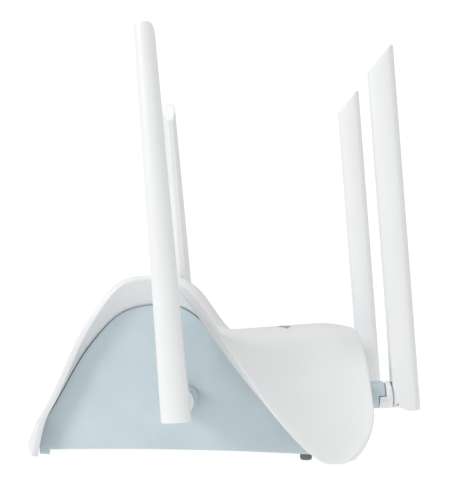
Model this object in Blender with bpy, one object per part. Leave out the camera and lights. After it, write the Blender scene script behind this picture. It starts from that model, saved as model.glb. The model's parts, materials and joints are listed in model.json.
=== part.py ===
"""Desktop wifi range extender with a saddle-shaped shell and four folding antennas.

A white shell with flared sides covers a base tray, two curved side panels and a rear panel
with the sockets.  Each antenna has a boss fixed to a panel, a knuckle that swivels in the
boss, and a hollow blade that folds on a pin in the knuckle.

Frame: +X is the unit's left side, -Y its front, +Z up.  The origin is on the table, under the
middle of the unit.  All sizes are in millimetres until a mesh is made, and then in metres.
"""

import math

import bmesh
import bpy
import numpy as np
from mathutils import Matrix, Vector

MM = 0.001
GAP = 0.3                      # clearance between neighbouring pieces
ROUND = 24                     # sides of a round piece
SMALL_ROUND = 14               # sides of a small round piece
SOFFIT_GAP = 0.9               # between the panels' top edges and the shell

# Antennas ---------------------------------------------------------------------------------
BLADE_LENGTH = 178.5
BLADE_DEPTH = 13.2             # from the inner face to the outer face
BLADE_FOOT_HALF = 6.7          # half width at the foot
BLADE_TIP_HALF = 4.5           # half width at the tip
BLADE_INNER = -1.6             # the inner face, measured outwards from the fold axis
BLADE_SHOULDER = 7.6           # where the flanks turn into the rounded outer face
BLADE_OUTER = BLADE_INNER + BLADE_DEPTH
BLADE_FOOT = -3.6              # the foot, measured up from the fold axis
BLADE_TOP = BLADE_FOOT + BLADE_LENGTH
TIP_FLAT = 1.6                 # depth of the level part of the slanted tip
TIP_SLOPE = 1.05
HINGE_FLAT_HALF = 5.0          # half width of the inner face at the hinge
RIDGE_FLAT_HALF = 1.8          # and along the blade
LEAN = 4.3                     # degrees that the rear antennas lean to the front
SIDE_LEAN = 4.7                # the same for the side antennas
FOLD_DROP = 4.2                # the fold axis is this far under the swivel axis
KNUCKLE_RADIUS = 6.7
KNUCKLE_FACE = -1.9            # the knuckle's end face at the height of the fold axis
SEAM = -5.8                    # where the knuckle meets the boss
LIP = 3.2                      # length of the turn stops
EDGE_CUT = 1.0                 # chamfer of boss and knuckle
SPIGOT_RADIUS = 4.2
SPIGOT_LENGTH = 7.7
NECK_RADIUS = 2.7
WEB = 1.6                      # wall in the boss that holds the knuckle's snap head
COAX_BORE = 1.5
COAX_RADIUS = 0.8
PIN_RADIUS = 0.75
TONGUE_HALF = 2.2
TONGUE_RADIUS = 1.9

SIDE_HINGE_Y = -16.0                   # where the side bosses leave their panels
SIDE_HINGE_Z = 29.3
SIDE_FOLD_REACH = 19.7                 # from the panel to the fold axis
REAR_HINGE_X = 63.0
REAR_HINGE_Z = 28.5
REAR_FOLD_Y = 86.5

# Shell ------------------------------------------------------------------------------------
WALL = 3.0
SHELL_REAR_Y = 73.0
SHELL_FRONT_Y = -100.7
RIM_FRONT_Y = -89.0
RIM_REAR_Y = 53.0
RIM_HALF = 98.5                # half width at the rear tongues
RIM_NARROWING = 20.5           # the front is narrower by this on each side
RIM_WIDEST_Y = 50.0
CORNER_START = 0.83            # share of the half width where the rear corners begin
REAR_FULLNESS = 0.8            # the section rises from u ** 2 in front to a fuller power at the rear
DIP = 3.5                      # a shallow valley between the ridge and each wing
DIP_PLACE = 0.655
DIP_SPREAD = 0.055
EDGE_Z = 0.7                   # the shell's edge stands this far over the table
RIM_LINE = [(-89.0, 0.7), (-86.4, 13.5), (-81.3, 26.0), (-67.1, 56.4), (-57.9, 71.5),
            (-48.3, 82.6), (-39.8, 86.4), (-31.9, 86.9), (-22.0, 85.0), (-10.9, 76.2),
            (-0.6, 61.1), (11.7, 42.1), (31.4, 15.4), (41.4, 5.5), (50.0, 0.7), (53.0, 0.7)]
RIDGE_LINE = [(-100.7, 0.7), (-97.6, 7.5), (-88.0, 18.0), (-70.0, 29.5), (-45.0, 41.5),
              (-20.0, 50.0), (1.6, 55.8), (20.0, 57.9), (43.0, 59.5), (62.0, 60.2), (73.0, 58.3)]
SHELL_COLUMNS = 26
SHELL_ROWS = 28

# Panels and base --------------------------------------------------------------------------
PANEL_WALL = 2.2
PANEL_RECESS = 10.5            # the side panel lies this far inside the rim
SIDE_PANEL_FRONT_Y = -87.0
REAR_PANEL_Y = 62.0            # outer face of the rear panel
REAR_PANEL_HALF = 87.6
PANEL_FOOT_Z = 2.3
PANEL_ARCH = 2.5               # the side panel's lower edge rises by this in the middle
TOE_REAR_Y = -82.6              # a short toe at the front of each side panel reaches down
TOE_Z = 0.3
BASE_Z = 5.2
BASE_WALL = 2.2
BASE_FRONT_Y = -88.0
FOOT_PLACES = {"foot_front_left": (50.0, -79.0), "foot_front_right": (-50.0, -79.0),
               "foot_rear_left": (81.5, 41.0), "foot_rear_right": (-81.5, 41.0)}
FOOT_RADIUS = 2.8
POST_PLACES = [(45.0, -52.0), (-45.0, -52.0), (72.0, 28.0), (-72.0, 28.0)]
POST_RADIUS = 3.2

# Electronics ------------------------------------------------------------------------------
BOARD_Z = 13.0
BOARD_WALL = 1.6
BOARD_HALF = 62.0
BOARD_FRONT_Y = -24.0
BOARD_REAR_Y = 58.6
BOARD_TOP = BOARD_Z + BOARD_WALL
BOARD_SCREWS = [(56.0, -18.0), (-56.0, -18.0)]
BOARD_POSTS = [(50.0, 34.0), (-50.0, 34.0)]
JACK_SIZE = (15.6, 21.0, 13.2)
JACK_PLACES = {"network_jack_1": -12.0, "network_jack_2": 6.0, "network_jack_3": 24.0}
INLET_X = 40.0
INLET_SIZE = (9.0, 14.0, 11.0)
BUTTON_Z = BOARD_TOP + 6.5
POWER_BUTTON = {"x": -40.0, "radius": 3.4, "travel": 2.0}
PAIR_BUTTON = {"x": -27.5, "radius": 2.0, "travel": 1.0}

# Status window ----------------------------------------------------------------------------
WINDOW_Y = 36.3
WINDOW_HALF_X = 19.0
WINDOW_HALF_Y = 5.0
WINDOW_WALL = 1.8

WHITE = (0.86, 0.87, 0.87)
BLUE_GREY = (0.52, 0.62, 0.68)


# Tools ------------------------------------------------------------------------------------
def clear_scene():
    for old in list(bpy.data.objects):
        bpy.data.objects.remove(old, do_unlink=True)


def material(name, colour, roughness, metallic=0.0):
    """A plain Principled material; a second call with the same name returns the first."""
    found = bpy.data.materials.get(name)
    if found:
        return found
    made = bpy.data.materials.new(name)
    made.use_nodes = True
    shader = made.node_tree.nodes["Principled BSDF"]
    shader.inputs["Base Color"].default_value = (*colour, 1.0)
    shader.inputs["Roughness"].default_value = roughness
    shader.inputs["Metallic"].default_value = metallic
    return made


def white_plastic():
    return material("white_plastic", WHITE, 0.42)


def blue_plastic():
    return material("blue_grey_plastic", BLUE_GREY, 0.5)


def black_plastic():
    return material("black_plastic", (0.02, 0.02, 0.022), 0.5)


def steel():
    return material("steel", (0.6, 0.6, 0.6), 0.3, 1.0)


def solid(name, points, faces, finish):
    """A closed mesh object from points in millimetres."""
    mesh = bpy.data.meshes.new(name)
    mesh.from_pydata([tuple(float(c) * MM for c in p) for p in points], [], faces)
    work = bmesh.new()
    work.from_mesh(mesh)
    bmesh.ops.remove_doubles(work, verts=work.verts, dist=1e-7)
    bmesh.ops.recalc_face_normals(work, faces=work.faces)
    work.to_mesh(mesh)
    work.free()
    mesh.materials.append(finish)
    mesh.shade_smooth()
    mesh.set_sharp_from_angle(angle=math.radians(35))
    made = bpy.data.objects.new(name, mesh)
    bpy.context.scene.collection.objects.link(made)
    return made


def boolean(target, tool, operation="DIFFERENCE"):
    """Joins or cuts the target with the tool, keeps the result and removes the tool."""
    step = target.modifiers.new("step", "BOOLEAN")
    step.operation = operation
    step.solver = "EXACT"
    step.object = tool
    bpy.context.view_layer.update()
    graph = bpy.context.evaluated_depsgraph_get()
    result = bpy.data.meshes.new_from_object(target.evaluated_get(graph))
    target.modifiers.remove(step)
    target.data = result
    bpy.data.objects.remove(tool, do_unlink=True)
    return target


def rings_solid(name, rings, finish):
    """Skins a stack of equal rings and closes its two ends."""
    count = len(rings[0])
    points = [p for ring in rings for p in ring]
    faces = []
    for k in range(len(rings) - 1):
        for i in range(count):
            j = (i + 1) % count
            faces.append((k * count + i, k * count + j, (k + 1) * count + j, (k + 1) * count + i))
    last = (len(rings) - 1) * count
    faces.append(tuple(range(count)))
    faces.append(tuple(last + i for i in range(count)))
    return solid(name, points, faces, finish)


def along(axis, radius, height, angle, centre):
    """A point of a turned shape: height along the axis, radius and angle around it."""
    c, s = radius * math.cos(angle), radius * math.sin(angle)
    place = {"X": (height, c, s), "Y": (-c, height, s), "Z": (c, s, height)}[axis]
    return tuple(p + q for p, q in zip(place, centre))


def turned(name, profile, finish, axis="Z", centre=(0.0, 0.0, 0.0), sides=ROUND, bored=False):
    """Turns a profile of (radius, height) points; a bored profile is a closed loop."""
    angles = [2 * math.pi * i / sides for i in range(sides)]
    rings = [[along(axis, r, h, a, centre) for a in angles] for r, h in profile]
    if not bored:
        return rings_solid(name, rings, finish)
    count, total = sides, len(rings)
    points = [p for ring in rings for p in ring]
    faces = []
    for k in range(total):
        n = (k + 1) % total
        for i in range(count):
            j = (i + 1) % count
            faces.append((k * count + i, k * count + j, n * count + j, n * count + i))
    return solid(name, points, faces, finish)


def rod(name, radius, low, high, finish, axis="Z", centre=(0.0, 0.0, 0.0), sides=SMALL_ROUND):
    return turned(name, [(radius, low), (radius, high)], finish, axis, centre, sides)


def block(name, low, high, finish):
    """A box between two corners."""
    x0, y0, z0 = low
    x1, y1, z1 = high
    rings = [[(x0, y0, z), (x1, y0, z), (x1, y1, z), (x0, y1, z)] for z in (z0, z1)]
    return rings_solid(name, rings, finish)


def box_at(name, centre, size, finish):
    """A box from its centre and size."""
    low = [c - s / 2 for c, s in zip(centre, size)]
    high = [c + s / 2 for c, s in zip(centre, size)]
    return block(name, low, high, finish)


def prism(name, outline, low, high, finish):
    """An outline in X and Y, raised from low to high."""
    return rings_solid(name, [[(x, y, z) for x, y in outline] for z in (low, high)], finish)


def natural_curve(knots):
    """The natural cubic curve through (place, value) knots, as a function of the place."""
    x = np.array([k[0] for k in knots], dtype=float)
    y = np.array([k[1] for k in knots], dtype=float)
    count, h = len(x), np.diff(x)
    matrix, right = np.eye(count), np.zeros(count)
    for i in range(1, count - 1):
        matrix[i, i - 1:i + 2] = h[i - 1], 2 * (h[i - 1] + h[i]), h[i]
        right[i] = 3 * ((y[i + 1] - y[i]) / h[i] - (y[i] - y[i - 1]) / h[i - 1])
    c = np.linalg.solve(matrix, right)

    def value(place):
        t = np.clip(place, x[0], x[-1])
        i = np.clip(np.searchsorted(x, t) - 1, 0, count - 2)
        d = t - x[i]
        slope = (y[i + 1] - y[i]) / h[i] - h[i] * (2 * c[i] + c[i + 1]) / 3
        return y[i] + slope * d + c[i] * d ** 2 + (c[i + 1] - c[i]) / (3 * h[i]) * d ** 3

    return value


rim_height = natural_curve(RIM_LINE)
ridge_height = natural_curve(RIDGE_LINE)


# Shell ------------------------------------------------------------------------------------
def rim_half_width(y):
    """Half the shell's width: a parabola that narrows towards the front."""
    short = np.clip(RIM_WIDEST_Y - y, 0.0, None) / (RIM_WIDEST_Y - RIM_FRONT_Y)
    return RIM_HALF - RIM_NARROWING * short ** 2


def shell_outer(u, v):
    """Outer face: u runs from rim to rim (-1 to 1), v from the front edge to the rear (0 to 1).

    Every cross section is a power curve between the ridge line and the rim line: a parabola in
    front, where the shell is a saddle, and a fuller arch at the rear, with rounded corners.
    """
    ridge_y = SHELL_FRONT_Y + (SHELL_REAR_Y - SHELL_FRONT_Y) * v
    rim_y = RIM_FRONT_Y + (RIM_REAR_Y - RIM_FRONT_Y) * v
    past = np.clip((np.abs(u) - CORNER_START) / (1 - CORNER_START), 0.0, 1.0)
    rear_share = v ** 3
    bow = (1 - rear_share) * u ** 2 + rear_share * (1 - np.sqrt(1 - past ** 2))
    y = ridge_y + (rim_y - ridge_y) * bow
    power = 2.0 + REAR_FULLNESS * rear_share
    z = ridge_height(ridge_y) + (rim_height(rim_y) - ridge_height(ridge_y)) * np.abs(u) ** power
    z = z - DIP * np.exp(-((v - DIP_PLACE) / DIP_SPREAD) ** 2 / 2) * 4 * u ** 2 * (1 - u ** 2)
    x = u * rim_half_width(rim_y)
    return np.stack(np.broadcast_arrays(x, y, z), axis=-1)


def shell_inner(u, v, depth=WALL):
    """The face that lies depth under the outer face, measured square to it."""
    e = 1e-3
    u0, u1 = np.clip(u - e, -1, 1), np.clip(u + e, -1, 1)
    v0, v1 = np.clip(v - e, 0, 1), np.clip(v + e, 0, 1)
    across, ahead = shell_outer(u1, v) - shell_outer(u0, v), shell_outer(u, v1) - shell_outer(u, v0)
    normal = np.cross(across, ahead)
    normal /= np.linalg.norm(normal, axis=-1, keepdims=True)
    return shell_outer(u, v) - depth * normal


def height_under(face, x, y):
    """Height of a shell face straight over the point x, y, by Newton's method."""
    u, v = x / RIM_HALF, (y - SHELL_FRONT_Y) / (SHELL_REAR_Y - SHELL_FRONT_Y)
    e = 1e-4
    for _ in range(30):
        here = face(np.float64(u), np.float64(v))
        du = (face(np.float64(u + e), np.float64(v)) - here) / e
        dv = (face(np.float64(u), np.float64(v + e)) - here) / e
        miss = np.array([x - here[0], y - here[1]])
        step = np.linalg.solve(np.array([[du[0], dv[0]], [du[1], dv[1]]]), miss)
        u = float(np.clip(u + np.clip(step[0], -0.1, 0.1), -0.998, 0.998))
        v = float(np.clip(v + np.clip(step[1], -0.1, 0.1), 0.002, 0.998))
    return float(face(np.float64(u), np.float64(v))[2])


def soffit(x, y):
    return height_under(shell_inner, x, y)


def build_shell():
    """Two skins over one grid, joined along the edge, with screw posts and a window hole."""
    t = np.linspace(-1, 1, SHELL_COLUMNS + 1)
    u = (np.sin(t * math.pi / 2) * 0.6 + t * 0.4)[None, :]
    s = np.linspace(0, 1, SHELL_ROWS + 1)
    v = ((1 - np.cos(s * math.pi)) / 2 * 0.5 + s * 0.5)[:, None]
    u, v = np.broadcast_arrays(u, v)
    outer = shell_outer(u, v)
    inner = shell_inner(u, v)
    inner[..., 2] = np.maximum(inner[..., 2], EDGE_Z)
    rows, columns = outer.shape[:2]
    points = np.concatenate([outer.reshape(-1, 3), inner.reshape(-1, 3)])
    under = rows * columns
    faces = []
    for j in range(rows - 1):
        for i in range(columns - 1):
            a = j * columns + i
            quad = (a, a + 1, a + columns + 1, a + columns)
            faces.append(quad)
            faces.append(tuple(under + k for k in reversed(quad)))
    edge = [i for i in range(columns)]
    edge += [j * columns + columns - 1 for j in range(1, rows)]
    edge += [(rows - 1) * columns + i for i in range(columns - 2, -1, -1)]
    edge += [j * columns for j in range(rows - 2, 0, -1)]
    for a, b in zip(edge, edge[1:] + edge[:1]):
        faces.append((a, b, under + b, under + a))
    shell = solid("top_shell", points, faces, white_plastic())
    for x, y in POST_PLACES:
        boolean(shell, shell_post(x, y), "UNION")
        boolean(shell, rod("pilot", 1.5, BASE_Z, BASE_Z + 14, white_plastic(), centre=(x, y, 0)))
    hole = prism("hole", diamond(0.0), 40.0, 70.0, white_plastic())
    return boolean(shell, hole)


def shell_middle(u, v):
    """The face halfway through the shell's wall."""
    return shell_inner(u, v, WALL / 2)


def shell_post(x, y):
    """A screw post that grows from the middle of the shell's wall down to the base."""
    angles = [2 * math.pi * i / SMALL_ROUND for i in range(SMALL_ROUND)]
    ring = [(x + POST_RADIUS * math.cos(a), y + POST_RADIUS * math.sin(a)) for a in angles]
    foot = BASE_Z + BASE_WALL + GAP
    rings = [[(px, py, foot) for px, py in ring]]
    rings.append([(px, py, height_under(shell_middle, px, py)) for px, py in ring])
    return rings_solid("post", rings, white_plastic())


def diamond(shrink):
    """Outline of the status window, drawn in by shrink on all sides."""
    slant = math.hypot(WINDOW_HALF_X, WINDOW_HALF_Y)
    half_x = WINDOW_HALF_X - shrink * slant / WINDOW_HALF_Y
    half_y = WINDOW_HALF_Y - shrink * slant / WINDOW_HALF_X
    return [(half_x, WINDOW_Y), (0.0, WINDOW_Y + half_y), (-half_x, WINDOW_Y), (0.0, WINDOW_Y - half_y)]


def build_status_window():
    """A thin lens that follows the shell's curve inside the diamond hole."""
    corner = diamond(GAP)
    steps = 8
    outline = []
    for (x0, y0), (x1, y1) in zip(corner, corner[1:] + corner[:1]):
        outline += [(x0 + (x1 - x0) * k / steps, y0 + (y1 - y0) * k / steps) for k in range(steps)]
    top = [(x, y, height_under(shell_outer, x, y) - 0.2) for x, y in outline]
    low = [(x, y, z - WINDOW_WALL) for x, y, z in top]
    count = len(outline)
    points = top + low
    faces = [(i, (i + 1) % count, count + (i + 1) % count, count + i) for i in range(count)]
    half = count // 2
    for i in range(half):
        a, b = i, (i + 1) % count
        c, d = (count - i - 1) % count, (count - i) % count
        quad = [a, b, c, d] if b != c and d != a else ([a, b, c] if d == a else [a, b, d])
        faces.append(tuple(quad))
        faces.append(tuple(count + k for k in reversed(quad)))
    return solid("status_window", points, faces, material("smoked_lens", (0.12, 0.13, 0.14), 0.2))


def build_light_pipe():
    """Four light guides on one bar, from the board's lamps up to the window."""
    clear = material("clear_plastic", (0.85, 0.88, 0.9), 0.1)
    bar_top = height_under(shell_outer, 12.0, WINDOW_Y) - 0.2 - WINDOW_WALL - 1.0
    low, high = (-13.0, WINDOW_Y - 1.5, bar_top - 2.4), (13.0, WINDOW_Y + 1.5, bar_top)
    pipe = block("light_pipe", low, high, clear)
    for x in (-10.5, -3.5, 3.5, 10.5):
        low, high = (x - 1.2, WINDOW_Y - 1.2, BOARD_TOP + 1.2), (x + 1.2, WINDOW_Y + 1.2, bar_top - 1)
        leg = block("leg", low, high, clear)
        boolean(pipe, leg, "UNION")
    return pipe


# Panels and base --------------------------------------------------------------------------
def panel_x(y):
    """Outer face of the left side panel."""
    return rim_half_width(y) - PANEL_RECESS


def side_frame():
    """Swivel frame of the left side antenna: X out along the boss, Z up."""
    slope = 2 * RIM_NARROWING * (RIM_WIDEST_Y - SIDE_HINGE_Y) / (RIM_WIDEST_Y - RIM_FRONT_Y) ** 2
    yaw = -math.atan(slope)
    out = Vector((math.cos(yaw), math.sin(yaw), 0.0))
    fold = Vector((float(panel_x(SIDE_HINGE_Y)), SIDE_HINGE_Y, SIDE_HINGE_Z)) + out * SIDE_FOLD_REACH
    return Matrix.Translation(fold * MM) @ Matrix.Rotation(yaw, 4, "Z")


def build_side_panel(name, side):
    """A curved upright panel under the shell's flared side; side is 1 for left, -1 for right."""
    rear = REAR_PANEL_Y - PANEL_WALL - GAP
    places = [SIDE_PANEL_FRONT_Y, TOE_REAR_Y, TOE_REAR_Y + 0.2]
    places += list(np.linspace(TOE_REAR_Y + 5.0, rear, 21))
    middle, reach = (SIDE_PANEL_FRONT_Y + rear) / 2, (rear - SIDE_PANEL_FRONT_Y) / 2
    rings = []
    for y in places:
        x_out = float(panel_x(y))
        x_in = x_out - PANEL_WALL
        foot = PANEL_FOOT_Z + PANEL_ARCH * (1 - ((y - middle) / reach) ** 2)
        if y <= TOE_REAR_Y:
            foot = TOE_Z
        top_out = soffit(x_out, y) - SOFFIT_GAP
        top_in = soffit(x_in, y) - SOFFIT_GAP
        corners = [(x_out, foot), (x_out, top_out), (x_in, top_in), (x_in, foot)]
        rings.append([(side * x, y, z) for x, z in corners])
    panel = rings_solid(name, rings, blue_plastic())
    hole = rod("hole", NECK_OUTER + GAP, -40, 0, blue_plastic(), "X", sides=ROUND)
    hole.matrix_world = antenna_frame(side, "side")
    return boolean(panel, hole)


def build_rear_panel():
    """The upright rear panel with its openings."""
    inner_y = REAR_PANEL_Y - PANEL_WALL
    places = np.linspace(-REAR_PANEL_HALF, REAR_PANEL_HALF, 21)
    rings = []
    for x in places:
        top = soffit(float(x), REAR_PANEL_Y) - SOFFIT_GAP
        top_in = soffit(float(x), inner_y) - SOFFIT_GAP
        corners = [(inner_y, PANEL_FOOT_Z), (REAR_PANEL_Y, PANEL_FOOT_Z)]
        corners += [(REAR_PANEL_Y, top), (inner_y, top_in)]
        rings.append([(x, y, z) for y, z in corners])
    panel = rings_solid("rear_panel", rings, blue_plastic())
    y0, y1 = inner_y - 5, REAR_PANEL_Y + 5
    for side in (1, -1):
        centre = (side * REAR_HINGE_X, 0, REAR_HINGE_Z)
        hole = rod("hole", NECK_OUTER + GAP, y0, y1, blue_plastic(), "Y", centre, ROUND)
        boolean(panel, hole)
    for x, size in [(x, JACK_SIZE) for x in JACK_PLACES.values()] + [(INLET_X, INLET_SIZE)]:
        low = (x - size[0] / 2 - GAP, y0, BOARD_TOP)
        high = (x + size[0] / 2 + GAP, y1, BOARD_TOP + GAP + size[2] + GAP)
        boolean(panel, block("opening", low, high, blue_plastic()))
    for button in (POWER_BUTTON, PAIR_BUTTON):
        hole = rod("hole", button["radius"] + GAP, y0, y1, blue_plastic(), "Y", (button["x"], 0, BUTTON_Z))
        boolean(panel, hole)
    return panel


def build_base():
    """The floor plate with vent slots, board posts and screw holes."""
    grey = blue_plastic()
    rear = REAR_PANEL_Y - PANEL_WALL - GAP
    sides = [(float(panel_x(y)) - PANEL_WALL - GAP, float(y)) for y in np.linspace(-79.0, rear, 12)]
    corner_x, corner_y = sides[0]
    front = [(corner_x * math.sin(a), BASE_FRONT_Y + (corner_y - BASE_FRONT_Y) * math.sin(a) ** 2)
             for a in np.linspace(-1.3, 1.3, 9)]
    outline = front + sides + [(-x, y) for x, y in reversed(sides)]
    top = BASE_Z + BASE_WALL
    base = prism("base_tray", outline, BASE_Z, top, grey)
    for x, y in BOARD_SCREWS + BOARD_POSTS:
        boolean(base, rod("post", 3.0, BASE_Z + 1, BOARD_Z - GAP, grey, centre=(x, y, 0)), "UNION")
    for x, y in BOARD_SCREWS:
        boolean(base, rod("pilot", 1.3, BASE_Z + 2.5, BOARD_Z + 2, grey, centre=(x, y, 0)))
    for x, y in POST_PLACES:
        boolean(base, rod("hole", 1.8, BASE_Z - 2, top + 2, grey, centre=(x, y, 0)))
    for side in (1, -1):
        for k in range(5):
            y = -24.0 + 11.0 * k
            low, high = (side * 34 - 13, y, BASE_Z - 2), (side * 34 + 13, y + 3, top + 2)
            boolean(base, block("slot", low, high, grey))
    return base


def build_feet():
    rubber = material("foot_rubber", (0.18, 0.18, 0.19), 0.85)
    profile = [(FOOT_RADIUS - 0.8, 0.0), (FOOT_RADIUS, 0.8), (FOOT_RADIUS, BASE_Z - GAP)]
    for name, (x, y) in FOOT_PLACES.items():
        turned(name, profile, rubber, centre=(x, y, 0.0), sides=SMALL_ROUND)


def build_screws():
    """Four closing screws from below and two that hold the board."""
    for number, (x, y) in enumerate(POST_PLACES, 1):
        head = BASE_Z - GAP
        profile = [(2.6, head - 1.8), (2.8, head - 1.5), (2.8, head), (1.2, head), (1.2, BASE_Z + 12)]
        turned(f"case_screw_{number}", profile, steel(), centre=(x, y, 0.0), sides=SMALL_ROUND)
    for number, (x, y) in enumerate(BOARD_SCREWS, 1):
        head = BOARD_TOP + GAP
        profile = [(1.0, BASE_Z + 3.0), (1.0, head), (2.6, head), (2.6, head + 1.4), (2.2, head + 1.9)]
        turned(f"board_screw_{number}", profile, steel(), centre=(x, y, 0.0), sides=SMALL_ROUND)


# Electronics ------------------------------------------------------------------------------
def build_board():
    green = material("board_green", (0.03, 0.16, 0.08), 0.45)
    x, y0, y1, cut = BOARD_HALF, BOARD_FRONT_Y, BOARD_REAR_Y, 6.0
    outline = [(-x + cut, y0), (x - cut, y0), (x, y0 + cut), (x, y1 - 14)]
    outline += [(x - 14, y1), (-x + 14, y1), (-x, y1 - 14), (-x, y0 + cut)]
    board = prism("circuit_board", outline, BOARD_Z, BOARD_TOP, green)
    for px, py in BOARD_SCREWS:
        boolean(board, rod("hole", 1.4, BOARD_Z - 2, BOARD_TOP + 2, green, centre=(px, py, 0)))
    return board


def build_components():
    """Shield can, heat sink with its pad, transformers and capacitors on the board."""
    tin = material("shield_tin", (0.55, 0.56, 0.57), 0.35, 1.0)
    floor = BOARD_TOP + GAP
    can = box_at("shield_can", (0.0, -1.0, floor + 2.0), (34.0, 30.0, 4.0), tin)
    boolean(can, block("inside", (-16.4, -15.4, floor - 2.0), (16.4, 13.4, floor + 3.4), tin))
    box_at("main_chip", (0.0, -1.0, floor + 1.5), (15.0, 15.0, 3.0), black_plastic())
    pad_low = floor + 4.0 + GAP
    pad = material("pad_grey", (0.35, 0.4, 0.45), 0.9)
    box_at("thermal_pad", (0.0, -1.0, pad_low + 0.5), (22.0, 22.0, 1.0), pad)
    sink_low = pad_low + 1.0 + GAP
    aluminium = material("sink_aluminium", (0.7, 0.7, 0.72), 0.4, 1.0)
    sink = box_at("heat_sink", (0.0, -1.0, sink_low + 5.0), (26.0, 26.0, 10.0), aluminium)
    for k in range(5):
        x = -10.0 + 5.0 * k
        low, high = (x - 1.5, -20.0, sink_low + 2.5), (x + 1.5, 20.0, sink_low + 12.0)
        boolean(sink, block("groove", low, high, tin))
    for number, x in enumerate((-3.0, 15.0), 1):
        box_at(f"line_transformer_{number}", (x, 31.0, floor + 3.0), (14.5, 7.0, 6.0), black_plastic())
    for number, y in enumerate((20.0, 32.0), 1):
        profile = [(3.6, floor), (4.0, floor + 0.6), (4.0, floor + 10.2), (3.6, floor + 11.0)]
        can = material("capacitor_can", (0.08, 0.1, 0.2), 0.35)
        turned(f"capacitor_{number}", profile, can, centre=(38.0, y, 0.0), sides=SMALL_ROUND)


def build_sockets():
    """Three network jacks and the power inlet, flush with the rear panel."""
    width, depth, height = JACK_SIZE
    floor = BOARD_TOP + GAP
    shine = material("jack_metal", (0.62, 0.62, 0.62), 0.3, 1.0)
    for name, x in JACK_PLACES.items():
        front = REAR_PANEL_Y + 0.2
        low, high = (x - width / 2, front - depth, floor), (x + width / 2, front, floor + height)
        jack = block(name, low, high, shine)
        low, high = (x - 5.9, front - 13, floor + 2.6), (x + 5.9, front + 3, floor + 9.6)
        boolean(jack, block("port", low, high, shine))
        low, high = (x - 3.0, front - 13, floor + 9.0), (x + 3.0, front + 3, floor + 11.6)
        boolean(jack, block("key", low, high, shine))
    width, depth, height = INLET_SIZE
    front = REAR_PANEL_Y + 0.2
    low, high = (INLET_X - width / 2, front - depth, floor), (INLET_X + width / 2, front, floor + height)
    inlet = block("power_inlet", low, high, black_plastic())
    middle = (INLET_X, 0.0, floor + height / 2)
    boolean(inlet, rod("barrel", 3.1, front - 10, front + 3, black_plastic(), "Y", middle))
    boolean(inlet, rod("contact", 0.9, front - 11, front - 1, steel(), "Y", middle, 12), "UNION")


def build_button(name, spec, switch_name):
    """A push button in the rear panel, held by a flange, and the switch behind it."""
    inner_y = REAR_PANEL_Y - PANEL_WALL
    radius, travel = spec["radius"], spec["travel"]
    axis_origin = Vector((spec["x"], REAR_PANEL_Y, BUTTON_Z))
    tail = inner_y - REAR_PANEL_Y
    profile = [(radius * 0.6, tail - 6.0), (radius * 0.6, tail - 1.8), (radius + 1.1, tail - 1.8)]
    profile += [(radius + 1.1, tail - GAP), (radius, tail - GAP)]
    profile += [(radius, travel - 0.2), (radius - 0.5, travel + 0.3)]
    button = turned(name, profile, white_plastic(), "Y", sides=SMALL_ROUND)
    button.location = axis_origin * MM
    switch_face = inner_y - 6.0 - travel - 2 * GAP
    x, floor = spec["x"], BOARD_TOP + GAP
    box_at(switch_name, (x, switch_face - 3.0, floor + 4.4), (8.0, 6.0, 8.8), black_plastic())


# Antennas ---------------------------------------------------------------------------------
NECK_OUTER = 5.7               # neck of the boss inside its panel
BOSS_FLANGE = 6.9
ANTENNAS = {"left_side": (1, "side"), "right_side": (-1, "side"),
            "left_rear": (1, "rear"), "right_rear": (-1, "rear")}


def antenna_frame(side, place):
    """World matrix of an antenna: X out along the boss from the fold axis, Z up."""
    if place == "rear":
        at = Vector((side * REAR_HINGE_X, REAR_FOLD_Y, REAR_HINGE_Z))
        return Matrix.Translation(at * MM) @ Matrix.Rotation(math.radians(90), 4, "Z")
    left = side_frame()
    if side > 0:
        return left
    at, yaw = left.to_translation(), left.to_euler().z
    return Matrix.Translation((-at.x, at.y, at.z)) @ Matrix.Rotation(math.pi - yaw, 4, "Z")


def axis_empty(name, matrix, parent=None):
    """An empty on a joint's axis."""
    empty = bpy.data.objects.new(name, None)
    empty.empty_display_size = 0.01
    bpy.context.scene.collection.objects.link(empty)
    if parent:
        empty.parent = parent
        empty.matrix_local = matrix
    else:
        empty.matrix_world = matrix
    bpy.context.view_layer.update()
    return empty


def hang(piece, parent):
    piece.parent = parent
    piece.matrix_parent_inverse = Matrix.Identity(4)
    return piece


def sector(name, start, end, inner, outer, low, high, finish):
    """A piece of a ring around X between two angles in degrees."""
    steps = max(2, round(abs(end - start) / 11.25))
    angles = [math.radians(start + (end - start) * k / steps) for k in range(steps + 1)]
    outline = [(outer * math.cos(a), outer * math.sin(a)) for a in angles]
    outline += [(inner * math.cos(a), inner * math.sin(a)) for a in reversed(angles)]
    return rings_solid(name, [[(x, w, z) for w, z in outline] for x in (low, high)], finish)


def build_boss(name, length, lip):
    """The fixed boss: neck and flange inside the panel, bore for the knuckle, turn stop."""
    panel = SEAM - GAP / 2 - length
    back = panel - PANEL_WALL - 2 * GAP
    end = SEAM - GAP / 2
    web = SEAM - SPIGOT_LENGTH - GAP
    bore = SPIGOT_RADIUS + GAP
    profile = [(bore, end), (KNUCKLE_RADIUS - EDGE_CUT, end), (KNUCKLE_RADIUS, end - EDGE_CUT)]
    profile += [(KNUCKLE_RADIUS, panel + GAP), (NECK_OUTER, panel + GAP), (NECK_OUTER, back)]
    profile += [(BOSS_FLANGE, back), (BOSS_FLANGE, back - 1.6), (bore, back - 1.6), (bore, web - WEB)]
    profile += [(NECK_RADIUS + GAP, web - WEB), (NECK_RADIUS + GAP, web), (bore, web)]
    boss = turned(name, profile, blue_plastic(), "X", bored=True)
    low, high = lip
    return boolean(boss, sector("free", high, low + 360, 3.6, 9.0, end - LIP, end + 2, blue_plastic()))


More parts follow.
